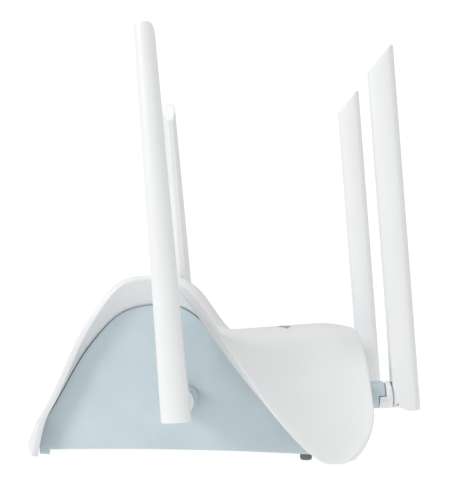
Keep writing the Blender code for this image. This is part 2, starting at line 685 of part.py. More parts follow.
def build_knuckle(name, lip):
    """The swivelling knuckle: snap spigot, barrel with a slanted face, tongue and turn stop."""
    start = SEAM + GAP / 2
    slant = math.tan(math.radians(LEAN))
    deep = SEAM - SPIGOT_LENGTH
    neck_end = deep - WEB - 2 * GAP
    chamfer = KNUCKLE_RADIUS - EDGE_CUT
    shape = [(2.9, neck_end - 1.6, 0), (3.6, neck_end - 0.9, 0), (3.6, neck_end, 0)]
    shape += [(NECK_RADIUS, neck_end, 0), (NECK_RADIUS, deep, 0), (SPIGOT_RADIUS, deep, 0)]
    shape += [(SPIGOT_RADIUS, start, 0), (chamfer, start, 0), (KNUCKLE_RADIUS, start + EDGE_CUT, 0)]
    shape += [(KNUCKLE_RADIUS, KNUCKLE_FACE - EDGE_CUT, slant), (chamfer, KNUCKLE_FACE, slant)]
    rings = []
    for radius, place, slope in shape:
        ring = []
        for k in range(ROUND):
            a = 2 * math.pi * k / ROUND
            w, z = radius * math.cos(a), radius * math.sin(a)
            ring.append((place - slope * (z + FOLD_DROP), w, z))
        rings.append(ring)
    knuckle = rings_solid(name, rings, white_plastic())
    low, high = lip
    stop_low, stop_high = start - LIP + GAP / 2, start + 1.7
    outer = KNUCKLE_RADIUS - 0.2
    stop = sector("stop", low + 3, high - 3, 3.7, outer, stop_low, stop_high, white_plastic())
    boolean(knuckle, stop, "UNION")
    boolean(knuckle, rod("bore", COAX_BORE, -30, 2, white_plastic(), "X", sides=16))
    tip = [(-5.0, -TONGUE_RADIUS), (0.0, -TONGUE_RADIUS)]
    for a in np.linspace(0.35, math.pi - 0.35, 7):
        tip.append((TONGUE_RADIUS * math.sin(a), -TONGUE_RADIUS * math.cos(a)))
    tip += [(0.0, TONGUE_RADIUS), (-5.0, TONGUE_RADIUS)]
    rings = [[(a, w, z - FOLD_DROP) for a, z in tip] for w in (-TONGUE_HALF, TONGUE_HALF)]
    boolean(knuckle, rings_solid("tongue", rings, white_plastic()), "UNION")
    pin_hole = rod("hole", PIN_RADIUS + GAP, -8, 8, white_plastic(), "Y", (0, 0, -FOLD_DROP), 16)
    return boolean(knuckle, pin_hole)


def blade_half_width(depth, height):
    """Half width of the blade at a depth behind its inner face and a height."""
    side = BLADE_FOOT_HALF + (BLADE_TIP_HALF - BLADE_FOOT_HALF) * (height - BLADE_FOOT) / BLADE_LENGTH
    t = min(max((height - 10.0) / 24.0, 0.0), 1.0)
    flat = HINGE_FLAT_HALF + (RIDGE_FLAT_HALF - HINGE_FLAT_HALF) * t * t * (3 - 2 * t)
    if depth <= BLADE_SHOULDER:
        share = (depth - BLADE_INNER) / (BLADE_SHOULDER - BLADE_INNER)
        return flat + (side - flat) * math.sin(share * math.pi / 2) ** 0.9
    past = (depth - BLADE_SHOULDER) / (BLADE_OUTER - BLADE_SHOULDER)
    return side * math.sqrt(max(0.0, 1 - past ** 2))


def blade_foot(depth):
    """Lower end of the blade: rounded about the pin, then cut away towards the knuckle."""
    round_off = -BLADE_INNER
    if depth <= 0:
        return -math.sqrt(max(0.0, round_off ** 2 - depth ** 2))
    cut_start, cut_end = 1.2, 5.0
    share = min(max((depth - cut_start) / (cut_end - cut_start), 0.0), 1.0)
    return -round_off + (BLADE_FOOT + round_off) * share


def blade_top(depth):
    """Upper end of the blade: level at the outer face, then slanting down inwards."""
    return BLADE_TOP - TIP_SLOPE * max(0.0, BLADE_OUTER - TIP_FLAT - depth)


def build_blade(name):
    """The hollow blade around the fold axis, with the slot for the tongue and the cable."""
    depths = [BLADE_INNER, -1.2, 0.0, 1.2, 3.1, 5.0, BLADE_SHOULDER, 9.4, 10.7, 11.3]
    heights = [None, 10.0, 16.0, 22.0, 28.0, 34.0, 70.0, 110.0, 150.0, "top"]
    rings = []
    for level in heights:
        def place(depth, sign):
            z = blade_foot(depth) if level is None else blade_top(depth) if level == "top" else level
            return (depth, sign * blade_half_width(depth, z), z)
        ring = [place(d, 1) for d in depths]
        ring.append(place(BLADE_OUTER, 0))
        ring += [place(d, -1) for d in reversed(depths)]
        rings.append(ring)
    count, last = len(rings[0]), len(rings) - 1
    points = [p for ring in rings for p in ring]
    faces = []
    for k in range(last):
        for i in range(count):
            j = (i + 1) % count
            faces.append((k * count + i, k * count + j, (k + 1) * count + j, (k + 1) * count + i))
    for base in (0, last * count):
        for i in range(len(depths) - 1):
            faces.append((base + i, base + i + 1, base + count - 2 - i, base + count - 1 - i))
        middle = len(depths)
        faces.append((base + middle - 1, base + middle, base + middle + 1))
    blade = solid(name, points, faces, white_plastic())
    slot_half, slot_depth = TONGUE_HALF + GAP, TONGUE_RADIUS + GAP + 0.2
    low, high = (-4.0, -slot_half, -6.0), (slot_depth, slot_half, 10.7)
    boolean(blade, block("slot", low, high, white_plastic()))
    wall = 1.4
    hollow = []
    for z in (6.0, 22.0, 34.0, 160.0):
        side = [(d, max(0.8, blade_half_width(d, z) - wall)) for d in (0.5, 4.0, 8.0, 9.8)]
        hollow.append([(d, w, z) for d, w in side] + [(d, -w, z) for d, w in reversed(side)])
    boolean(blade, rings_solid("hollow", hollow, white_plastic()))
    return boolean(blade, rod("hole", PIN_RADIUS + GAP, -9, 9, white_plastic(), "Y", sides=16))


def build_antenna(label, side, place):
    """One antenna: boss, knuckle, blade, pin, radiator strip and its cable."""
    frame = antenna_frame(side, place)
    fixed = axis_empty(f"axis_boss_{label}", frame)
    if place == "side":
        length = SIDE_FOLD_REACH + SEAM - GAP / 2
        boss_lip, knuckle_lip, swivel, fold = (45, 135), (225, 315), side * SIDE_LEAN, 0.0
    else:
        length = REAR_FOLD_Y + SEAM - GAP / 2 - REAR_PANEL_Y
        boss_lip, swivel, fold = (0.5, 179.5), 0.0, -LEAN
        knuckle_lip = (180, 270) if side > 0 else (270, 360)
    hang(build_boss(f"boss_{label}", length, boss_lip), fixed)
    turn = axis_empty(f"axis_swivel_{label}", Matrix.Rotation(math.radians(swivel), 4, "X"), fixed)
    hang(build_knuckle(f"knuckle_{label}", knuckle_lip), turn)
    tilt = Matrix.Rotation(math.radians(fold), 4, "Y")
    bend_place = Matrix.Translation((0.0, 0.0, -FOLD_DROP * MM)) @ tilt
    bend = axis_empty(f"axis_fold_{label}", bend_place, turn)
    hang(build_blade(f"blade_{label}"), bend)
    hang(rod(f"pin_{label}", PIN_RADIUS, -5.0, 5.0, steel(), "Y", sides=16), bend)
    copper = material("antenna_copper", (0.75, 0.42, 0.2), 0.35, 1.0)
    strip = block(f"radiator_{label}", (4.6, -2.0, 22.0), (5.4, 2.0, 150.0), copper)
    lead = rod("lead", 0.6, 9.0, 23.0, black_plastic(), centre=(5.0, 0.0, 0.0), sides=12)
    hang(boolean(strip, lead, "UNION"), bend)
    build_coax(label, side, place, frame)


def build_coax(label, side, place, frame):
    """Cable from the board's edge into the back of the knuckle, on one smooth curve."""
    inside = [frame @ Vector((a * MM, 0.0, 0.0)) / MM for a in (-13.0, -20.0, -27.0)]
    if place == "side":
        start = Vector((side * 58.0, -12.0, BOARD_TOP + 1.4))
        rise = Vector((side * 63.0, -13.5, BOARD_TOP + 8.0))
    else:
        start = Vector((side * 44.0, 20.0, BOARD_TOP + 1.4))
        rise = Vector((side * 50.0, 30.0, BOARD_TOP + 6.0))
    route = [start, rise, inside[2], inside[1], inside[0]]
    points = []
    for k in range(len(route) - 1):
        before = route[max(k - 1, 0)]
        after = route[min(k + 2, len(route) - 1)]
        for step in range(4):
            points.append(smooth_between(before, route[k], route[k + 1], after, step / 4))
    points.append(route[-1])
    tube(f"coax_{label}", points, COAX_RADIUS, black_plastic())


def tube(name, points, radius, finish, sides=6):
    """A round tube along a path; each ring is turned as little as possible from the last."""
    rings, across = [], Vector((0.0, 1.0, 0.0))
    for k, point in enumerate(points):
        ahead = (points[min(k + 1, len(points) - 1)] - points[max(k - 1, 0)]).normalized()
        across = (across - ahead * across.dot(ahead)).normalized()
        up = ahead.cross(across)
        angles = [2 * math.pi * i / sides for i in range(sides)]
        rings.append([tuple(point + (across * math.cos(a) + up * math.sin(a)) * radius) for a in angles])
    return rings_solid(name, rings, finish)


def smooth_between(a, b, c, d, t):
    """A point between b and c on the smooth curve through a, b, c and d."""
    first, second = c - a, 2 * a - 5 * b + 4 * c - d
    third = 3 * b - a - 3 * c + d
    return 0.5 * (2 * b + first * t + second * t ** 2 + third * t ** 3)


def main():
    clear_scene()
    build_shell()
    build_status_window()
    build_light_pipe()
    build_side_panel("side_panel_left", 1)
    build_side_panel("side_panel_right", -1)
    build_rear_panel()
    build_base()
    build_feet()
    build_screws()
    build_board()
    build_components()
    build_sockets()
    build_button("power_button", POWER_BUTTON, "power_switch")
    build_button("pair_button", PAIR_BUTTON, "pair_switch")
    for label, (side, place) in ANTENNAS.items():
        build_antenna(label, side, place)


main()
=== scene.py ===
"""Looks of the desktop wifi range extender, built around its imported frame.

The white saddle shell, the blue-grey panels, the folding antennas, the sockets and the small
fittings are surfaces worked out here on grids of points.  Sizes are in millimetres and turn
into metres when a mesh is made.  +X is the unit's left side, -Y its front and +Z is up.
"""

import json
import logging
import math
from dataclasses import dataclass, field
from enum import Enum
from typing import Callable, Sequence

import bmesh
import bpy
import numpy as np
from mathutils import Matrix, Vector


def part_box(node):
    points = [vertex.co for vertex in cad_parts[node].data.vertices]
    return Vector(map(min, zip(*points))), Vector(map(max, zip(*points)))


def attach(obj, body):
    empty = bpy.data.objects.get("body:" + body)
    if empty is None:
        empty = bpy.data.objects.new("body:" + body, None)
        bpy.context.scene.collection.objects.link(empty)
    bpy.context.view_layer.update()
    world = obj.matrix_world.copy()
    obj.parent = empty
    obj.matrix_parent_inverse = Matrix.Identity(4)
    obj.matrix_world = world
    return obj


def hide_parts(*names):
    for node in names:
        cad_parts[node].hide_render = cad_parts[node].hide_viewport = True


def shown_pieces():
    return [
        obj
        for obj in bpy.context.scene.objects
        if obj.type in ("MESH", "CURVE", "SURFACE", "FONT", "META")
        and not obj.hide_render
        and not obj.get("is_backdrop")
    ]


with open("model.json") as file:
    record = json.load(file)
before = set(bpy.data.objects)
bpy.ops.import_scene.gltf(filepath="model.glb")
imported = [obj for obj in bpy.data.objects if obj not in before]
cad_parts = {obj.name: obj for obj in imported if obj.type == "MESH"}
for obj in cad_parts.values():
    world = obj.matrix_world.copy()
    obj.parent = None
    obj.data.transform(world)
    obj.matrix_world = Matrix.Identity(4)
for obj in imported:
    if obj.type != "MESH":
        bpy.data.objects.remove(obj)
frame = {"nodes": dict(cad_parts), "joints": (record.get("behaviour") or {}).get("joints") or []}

log = logging.getLogger("wifi_extender")
Array = np.ndarray
MM = 0.001
UNIT = "unit"


# ---------------------------------------------------------------------------------------
# Curves and grids
# ---------------------------------------------------------------------------------------
def smoothstep(value: Array) -> Array:
    """Eases 0 to 1 with level ends: t * t * (3 - 2 t), clipped outside."""
    t = np.clip(value, 0.0, 1.0)
    return t * t * (3.0 - 2.0 * t)


def natural_curve(knots: Sequence[tuple[float, float]]) -> Callable[[Array], Array]:
    """Makes the natural cubic curve through a few knots.

    Args:
        knots: (place, value) pairs in rising order of place.

    Returns:
        A function that gives the value at any array of places, held level past the ends.
    """
    x = np.array([k[0] for k in knots], dtype=float)
    y = np.array([k[1] for k in knots], dtype=float)
    count, h = len(x), np.diff(x)
    matrix, right = np.eye(count), np.zeros(count)
    for i in range(1, count - 1):
        matrix[i, i - 1:i + 2] = h[i - 1], 2 * (h[i - 1] + h[i]), h[i]
        right[i] = 3 * ((y[i + 1] - y[i]) / h[i] - (y[i] - y[i - 1]) / h[i - 1])
    c = np.linalg.solve(matrix, right)

    def value(place: Array) -> Array:
        """Evaluates the piece of the curve that each place falls in."""
        t = np.clip(place, x[0], x[-1])
        i = np.clip(np.searchsorted(x, t) - 1, 0, count - 2)
        d = t - x[i]
        slope = (y[i + 1] - y[i]) / h[i] - h[i] * (2 * c[i] + c[i + 1]) / 3
        return y[i] + slope * d + c[i] * d ** 2 + (c[i + 1] - c[i]) / (3 * h[i]) * d ** 3

    return value


def edge_spaced(count: int, length: float, layer: float) -> Array:
    """Places from 0 to 1 that crowd in a thin layer at both ends.

    Args:
        count: number of even steps between the two layers.
        length: rough length of the whole line.
        layer: depth of each end layer, in the same unit.

    Returns:
        The places, with six extra ones in each layer on a cosine.
    """
    share = layer / length
    near = share * (1 - np.cos(np.linspace(0, math.pi / 2, 7)))
    middle = np.linspace(share, 1 - share, count + 1)
    return np.concatenate([near[:-1], middle, 1 - near[-2::-1]])


def edge_fullness(points: Array, radius: float) -> Array:
    """How full a skin is near the edge of its grid: 0 on the edge, 1 past the radius.

    The profile is a quarter of an ellipse, sqrt(1 - (1 - e / r)^2), of the distance e from
    each of the four sides of the grid.

    Args:
        points: grid of points, rows by columns by 3.
        radius: distance over which the edge is rounded.

    Returns:
        One number for each point of the grid.
    """
    full = np.ones(points.shape[:2])
    sides = (points[:1], points[-1:], points[:, :1], points[:, -1:])
    for side in sides:
        away = np.linalg.norm(points - side, axis=-1)
        short = 1 - np.clip(away / radius, 0.0, 1.0)
        full *= np.sqrt(np.clip(1 - short ** 2, 0.0, 1.0))
    return full


def rounded_path(corners: Sequence[tuple[float, float, float]], steps: int = 5) -> Array:
    """Rounds the corners of an open line in a plane.

    Each corner becomes an arc that touches both of its straight sides.

    Args:
        corners: (x, y, radius) of each corner; the two ends take no radius.
        steps: number of steps in each arc.

    Returns:
        The rounded line, points by 2.
    """
    line = [np.array(corners[0][:2])]
    for before, here, after in zip(corners, corners[1:], corners[2:]):
        p, radius = np.array(here[:2]), here[2]
        if radius <= 0:
            line.append(p)
            continue
        back, ahead = np.array(before[:2]) - p, np.array(after[:2]) - p
        back, ahead = back / np.linalg.norm(back), ahead / np.linalg.norm(ahead)
        half = math.acos(float(np.clip(back @ ahead, -1, 1))) / 2
        reach = radius / math.tan(half)
        middle = p + (back + ahead) / np.linalg.norm(back + ahead) * radius / math.sin(half)
        start, end = p + back * reach - middle, p + ahead * reach - middle
        turn = math.pi - 2 * half
        for share in np.linspace(0, 1, steps + 1):
            weight = np.array([math.sin((1 - share) * turn), math.sin(share * turn)])
            line.append(middle + (weight[0] * start + weight[1] * end) / math.sin(turn))
    line.append(np.array(corners[-1][:2]))
    return np.array(line)


def smooth_loop(outline: Array, samples: int, reach: float) -> Array:
    """Evens out a closed outline and rounds its corners.

    The outline is cut into even steps of its own length, and each point becomes the mean of
    its neighbours under a bell curve exp(-d^2 / 2 reach^2), worked out with a Fourier
    transform.

    Args:
        outline: corner points, points by 2, not repeated at the end.
        samples: number of points in the result.
        reach: width of the bell curve, in millimetres.

    Returns:
        The rounded outline, samples by 2.
    """
    closed = np.vstack([outline, outline[:1]])
    run = np.concatenate([[0], np.cumsum(np.linalg.norm(np.diff(closed, axis=0), axis=1))])
    fine = 16 * samples
    places = np.linspace(0, run[-1], fine, endpoint=False)
    even = np.stack([np.interp(places, run, closed[:, k]) for k in (0, 1)], axis=1)
    away = np.minimum(places, run[-1] - places)
    bell = np.exp(-away ** 2 / (2 * reach ** 2))
    bell /= bell.sum()
    mixed = np.fft.ifft(np.fft.fft(even, axis=0) * np.fft.fft(bell)[:, None], axis=0).real
    return mixed[::16]


def outward_normals(loop: Array) -> Array:
    """Unit normals of a closed outline that turns left, pointing out of it."""
    ahead = np.roll(loop, -1, axis=0) - np.roll(loop, 1, axis=0)
    normal = np.stack([ahead[:, 1], -ahead[:, 0]], axis=1)
    return normal / np.linalg.norm(normal, axis=1, keepdims=True)


def placed(points: Array, place: Matrix) -> Array:
    """Moves points in millimetres by a matrix whose shift is in metres."""
    m = np.array(place)
    return points @ m[:3, :3].T + m[:3, 3] / MM


# ---------------------------------------------------------------------------------------
# Meshes
# ---------------------------------------------------------------------------------------
@dataclass
class Skin:
    """Collects grids of points and closes them into one mesh object."""

    points: list[Array] = field(default_factory=list)
    quads: list[Array] = field(default_factory=list)
    count: int = 0

    def grid(self, points: Array, wrap: bool = False) -> "Skin":
        """Adds a grid of points, joined by quads.

        Args:
            points: rows by columns by 3, in millimetres.
            wrap: True where the last column joins the first.

        Returns:
            The skin itself, so that calls can be chained.
        """
        rows, columns = points.shape[:2]
        index = np.arange(rows * columns).reshape(rows, columns) + self.count
        right = np.roll(index, -1, axis=1) if wrap else index[:, 1:]
        left = index if wrap else index[:, :-1]
        quads = np.stack([left[:-1], right[:-1], right[1:], left[1:]], axis=-1)
        self.points.append(points.reshape(-1, 3))
        self.quads.append(quads.reshape(-1, 4))
        self.count += rows * columns
        return self

    def rings(self, rings: Array) -> "Skin":
        """Adds closed rings and shuts both ends with a fan round the middle of the last ring."""
        first = np.broadcast_to(rings[0].mean(axis=0), rings[0].shape)
        last = np.broadcast_to(rings[-1].mean(axis=0), rings[-1].shape)
        return self.grid(np.concatenate([first[None], rings, last[None]]), wrap=True)

    def loop(self, rings: Array) -> "Skin":
        """Adds rings whose last one joins the first, as on a bored piece."""
        return self.grid(np.concatenate([rings, rings[:1]]), wrap=True)

    def build(self, name: str, finish: bpy.types.Material, sharp: float = 38.0) -> bpy.types.Object:
        """Makes the mesh, joins its seams, turns its faces outwards and shades it smooth.

        Args:
            name: name of the piece.
            finish: its material.
            sharp: edges that turn more than this many degrees stay sharp.

        Returns:
            The object, at the origin, with its place in its mesh.
        """
        points = np.concatenate(self.points) * MM
        quads = np.concatenate(self.quads)
        mesh = bpy.data.meshes.new(name)
        mesh.vertices.add(len(points))
        mesh.vertices.foreach_set("co", points.ravel().astype(np.float32))
        mesh.loops.add(quads.size)
        mesh.loops.foreach_set("vertex_index", quads.ravel().astype(np.int32))
        mesh.polygons.add(len(quads))
        mesh.polygons.foreach_set("loop_start", np.arange(0, quads.size, 4, dtype=np.int32))
        mesh.update(calc_edges=True)
        work = bmesh.new()
        work.from_mesh(mesh)
        bmesh.ops.remove_doubles(work, verts=work.verts, dist=5e-7)
        bmesh.ops.dissolve_degenerate(work, edges=work.edges, dist=1e-8)
        bmesh.ops.recalc_face_normals(work, faces=work.faces)
        closed = all(edge.is_manifold for edge in work.edges)
        if closed and work.calc_volume(signed=True) < 0:
            bmesh.ops.reverse_faces(work, faces=work.faces)
        work.to_mesh(mesh)
        work.free()
        mesh.materials.append(finish)
        mesh.shade_smooth()
        mesh.set_sharp_from_angle(angle=math.radians(sharp))
        made = bpy.data.objects.new(name, mesh)
        bpy.context.scene.collection.objects.link(made)
        return made


class Step(Enum):
    """What a second solid does to the first."""

    CUT = "DIFFERENCE"
    JOIN = "UNION"


def combine(target: bpy.types.Object, tool: bpy.types.Object, step: Step,
            sharp: float = 38.0) -> bpy.types.Object:
    """Cuts a solid with another, or joins the two, and removes the second.

    Args:
        target: the solid that is changed.
        tool: the second solid.
        step: what is done.
        sharp: edges that turn more than this many degrees stay sharp.

    Returns:
        The changed target.
    """
    work = target.modifiers.new("step", "BOOLEAN")
    work.operation = step.value
    work.solver = "MANIFOLD"
    work.object = tool
    bpy.context.view_layer.update()
    graph = bpy.context.evaluated_depsgraph_get()
    result = bpy.data.meshes.new_from_object(target.evaluated_get(graph))
    target.modifiers.remove(work)
    result.name = target.name
    target.data = result
    while len(result.materials) > 1:
        result.materials.pop(index=len(result.materials) - 1)
    result.shade_smooth()
    result.set_sharp_from_angle(angle=math.radians(sharp))
    bpy.data.objects.remove(tool, do_unlink=True)
    return target


def turned_rings(profile: Array, axis: str, centre: Sequence[float], sides: int) -> Array:
    """Rings of a turned shape: each profile point (r, h) goes round as (r cos a, r sin a, h).

    Args:
        profile: (radius, height along the axis) of each ring.
        axis: "X", "Y" or "Z".
        centre: where height 0 lies.
        sides: number of points in each ring.

    Returns:
        Rings by points by 3.
    """
    a = np.linspace(0, 2 * math.pi, sides, endpoint=False)[None, :]
    r, h = profile[:, :1], np.broadcast_to(profile[:, 1:2], (len(profile), sides))
    c, s = r * np.cos(a), r * np.sin(a)
    order = {"X": (h, c, s), "Y": (-c, h, s), "Z": (c, s, h)}[axis]
    return np.stack(order, axis=-1) + np.array(centre, dtype=float)


def rod(name: str, radius: float, low: float, high: float, finish: bpy.types.Material,
        axis: str = "Z", centre: Sequence[float] = (0, 0, 0), sides: int = 48) -> bpy.types.Object:
    """A plain round tool for cutting."""
    profile = np.array([[radius, low], [radius, high]])
    return Skin().rings(turned_rings(profile, axis, centre, sides)).build(name, finish)


def slab_rings(outline: Array, low: float, high: float, edge: float) -> Array:
    """Rings of a plate with rounded edges, from an outline that turns left in X and Y.

    The outline is drawn in by edge (1 - cos a) while the height turns by edge sin a.

    Args:
        outline: points by 2.
        low: height of the underside.
        high: height of the top.
        edge: radius of both edges.

    Returns:
        Rings by points by 3.
    """
    out = outward_normals(outline)
    a = np.linspace(0, math.pi / 2, 5)
    draw_in = np.concatenate([edge * (1 - np.sin(a)), edge * (1 - np.cos(a))])
    height = np.concatenate([low + edge * (1 - np.cos(a)), high - edge * (1 - np.sin(a))])
    plan = outline[None] - out[None] * draw_in[:, None, None]
    level = np.broadcast_to(height[:, None, None], plan.shape[:2] + (1,))
    return np.concatenate([plan, level], axis=-1)


def rounded_rectangle(width: float, depth: float, radius: float, steps: int = 6) -> Array:
    """Outline of a rectangle with round corners, turning left, centred on zero."""
    a = np.linspace(0, math.pi / 2, steps + 1)
    corner = radius * np.stack([np.cos(a), np.sin(a)], axis=1)
    x, y = width / 2 - radius, depth / 2 - radius
    parts = []
    for k, (cx, cy) in enumerate(((x, y), (-x, y), (-x, -y), (x, -y))):
        c, s = math.cos(k * math.pi / 2), math.sin(k * math.pi / 2)
        parts.append(corner @ np.array([[c, s], [-s, c]]) + (cx, cy))
    return np.concatenate(parts)


def box_rings(low: Sequence[float], high: Sequence[float], edge: float, axis: str = "Z",
              corner: float = 0.0) -> Array:
    """Rings of a box with rounded edges, stacked along an axis.

    Args:
        low: lowest corner.
        high: highest corner.
        edge: radius of the edges round its two end faces.
        axis: direction of the stack.
        corner: radius of the four long edges, or 0 for the same as the others.

    Returns:
        Rings by points by 3.
    """
    order = {"Z": (0, 1, 2), "X": (1, 2, 0), "Y": (2, 0, 1)}[axis]
    lo, hi = np.array(low, dtype=float), np.array(high, dtype=float)
    i, j, k = order
    outline = rounded_rectangle(hi[i] - lo[i], hi[j] - lo[j], corner or edge)
    outline = outline + ((hi[i] + lo[i]) / 2, (hi[j] + lo[j]) / 2)
    local = slab_rings(outline, lo[k], hi[k], edge)
    out = np.empty_like(local)
    out[..., i], out[..., j], out[..., k] = local[..., 0], local[..., 1], local[..., 2]
    return out


def box_tool(low: Sequence[float], high: Sequence[float], finish: bpy.types.Material) -> bpy.types.Object:
    """A sharp box for cutting."""
    (x0, y0, z0), (x1, y1, z1) = low, high
    ring = np.array([[x0, y0], [x1, y0], [x1, y1], [x0, y1]])
    rings = np.stack([np.column_stack([ring, np.full(4, z)]) for z in (z0, z1)])
    return Skin().rings(rings).build("tool", finish)


# ---------------------------------------------------------------------------------------
# Finishes
# ---------------------------------------------------------------------------------------
Colour = tuple[float, float, float]


@dataclass(frozen=True)
class Moulded:
    """Moulded plastic or rubber: faint clouds of colour and gloss over a fine grain."""

    name: str
    colour: Colour
    shade: Colour
    roughness: float
    roughness_spread: float = 0.06
    grain_size: float = 0.35
    grain_depth: float = 0.006
    cloud_size: float = 45.0
    coat: float = 0.0
    subsurface: float = 0.0

    def material(self) -> bpy.types.Material:
        """Builds the node tree once and returns the material.

        Colour runs between two close tones on a large soft noise.  Roughness follows a
        second noise.  Two sizes of fine noise make the grain as bump.
        """
        found = bpy.data.materials.get(self.name)
        if found:
            return found
        made = bpy.data.materials.new(self.name)
        made.use_nodes = True
        tree = NodeTree(made)
        shader = made.node_tree.nodes["Principled BSDF"]
        place = tree.object_place()
        cloud = tree.noise(place, 1000.0 / self.cloud_size, 3.0, 0.5)
        tree.link(tree.mix(cloud, self.shade, self.colour, 0.38, 0.62), shader, "Base Color")
        gloss = tree.noise(place, 1000.0 / (self.cloud_size * 0.4), 4.0, 0.6)
        low, high = self.roughness - self.roughness_spread, self.roughness + self.roughness_spread
        tree.link(tree.span(gloss, 0.3, 0.7, low, high), shader, "Roughness")
        fine = tree.noise(place, 1000.0 / self.grain_size, 2.0, 0.5)
        coarse = tree.noise(place, 1000.0 / (self.grain_size * 3.3), 3.0, 0.55)
        height = tree.maths("ADD", fine, tree.maths("MULTIPLY", coarse, 0.7))
        tree.link(tree.bump(height, 0.35, self.grain_depth * MM), shader, "Normal")
        shader.inputs["Coat Weight"].default_value = self.coat
        shader.inputs["Coat Roughness"].default_value = 0.25
        shader.inputs["Subsurface Weight"].default_value = self.subsurface
        shader.inputs["Subsurface Radius"].default_value = (0.004, 0.004, 0.004)
        shader.inputs["Subsurface Scale"].default_value = 0.5
        return made


@dataclass(frozen=True)
class Metal:
    """Bare or plated metal, brushed along one axis."""

    name: str
    colour: Colour
    shade: Colour
    roughness: float
    brush: tuple[float, float, float] = (1.0, 1.0, 1.0)
    brush_size: float = 0.25
    depth: float = 0.004

    def material(self) -> bpy.types.Material:
        """Builds the node tree once and returns the material.

        A noise stretched along the brushing drives colour, roughness and bump.
        """
        found = bpy.data.materials.get(self.name)
        if found:
            return found
        made = bpy.data.materials.new(self.name)
        made.use_nodes = True
        tree = NodeTree(made)
        shader = made.node_tree.nodes["Principled BSDF"]
        place = tree.object_place(self.brush)
        lines = tree.noise(place, 1000.0 / self.brush_size, 3.0, 0.6)
        tree.link(tree.mix(lines, self.shade, self.colour, 0.3, 0.7), shader, "Base Color")
        dull = tree.span(lines, 0.3, 0.7, self.roughness - 0.08, self.roughness + 0.1)
        tree.link(dull, shader, "Roughness")
        tree.link(tree.bump(lines, 0.3, self.depth * MM), shader, "Normal")
        shader.inputs["Metallic"].default_value = 1.0
        return made


@dataclass(frozen=True)
class Clear:
    """Clear or smoked plastic with faint haze."""

    name: str
    colour: Colour
    roughness: float
    transmission: float

    def material(self) -> bpy.types.Material:
        """Builds the node tree once and returns the material."""
        found = bpy.data.materials.get(self.name)
        if found:
            return found
        made = bpy.data.materials.new(self.name)
        made.use_nodes = True
        tree = NodeTree(made)
        shader = made.node_tree.nodes["Principled BSDF"]
        haze = tree.noise(tree.object_place(), 120.0, 4.0, 0.6)
        dim = tuple(c * 0.86 for c in self.colour)
        tree.link(tree.mix(haze, dim, self.colour, 0.35, 0.65), shader, "Base Color")
        tree.link(tree.span(haze, 0.3, 0.7, self.roughness, self.roughness + 0.08), shader, "Roughness")
        shader.inputs["Transmission Weight"].default_value = self.transmission
        shader.inputs["IOR"].default_value = 1.49
        return made


@dataclass(frozen=True)
class BoardMask:
    """Circuit board: solder mask over copper runs, with tinned pads on a grid."""

    name: str
    mask: Colour = (0.012, 0.12, 0.055)
    run: Colour = (0.03, 0.22, 0.10)
    pad: Colour = (0.62, 0.6, 0.56)

    def material(self) -> bpy.types.Material:
        """Builds the node tree once and returns the material.

        Copper runs are the ridges of a stepped cell pattern; pads are small discs.
        """
        found = bpy.data.materials.get(self.name)
        if found:
            return found
        made = bpy.data.materials.new(self.name)
        made.use_nodes = True
        tree = NodeTree(made)
        shader = made.node_tree.nodes["Principled BSDF"]
        place = tree.object_place()
        runs = tree.voronoi(place, 420.0, "MANHATTAN", "F1")
        tone = tree.mix(runs, self.mask, self.run, 0.42, 0.5)
        discs = tree.voronoi(place, 260.0, "EUCLIDEAN", "F1")
        hit = tree.span(discs, 0.16, 0.19, 1.0, 0.0)
        tree.link(tree.blend(hit, tone, self.pad), shader, "Base Color")
        tree.link(tree.span(hit, 0.0, 1.0, 0.42, 0.28), shader, "Roughness")
        tree.link(tree.bump(runs, 0.25, 0.05 * MM), shader, "Normal")
        return made


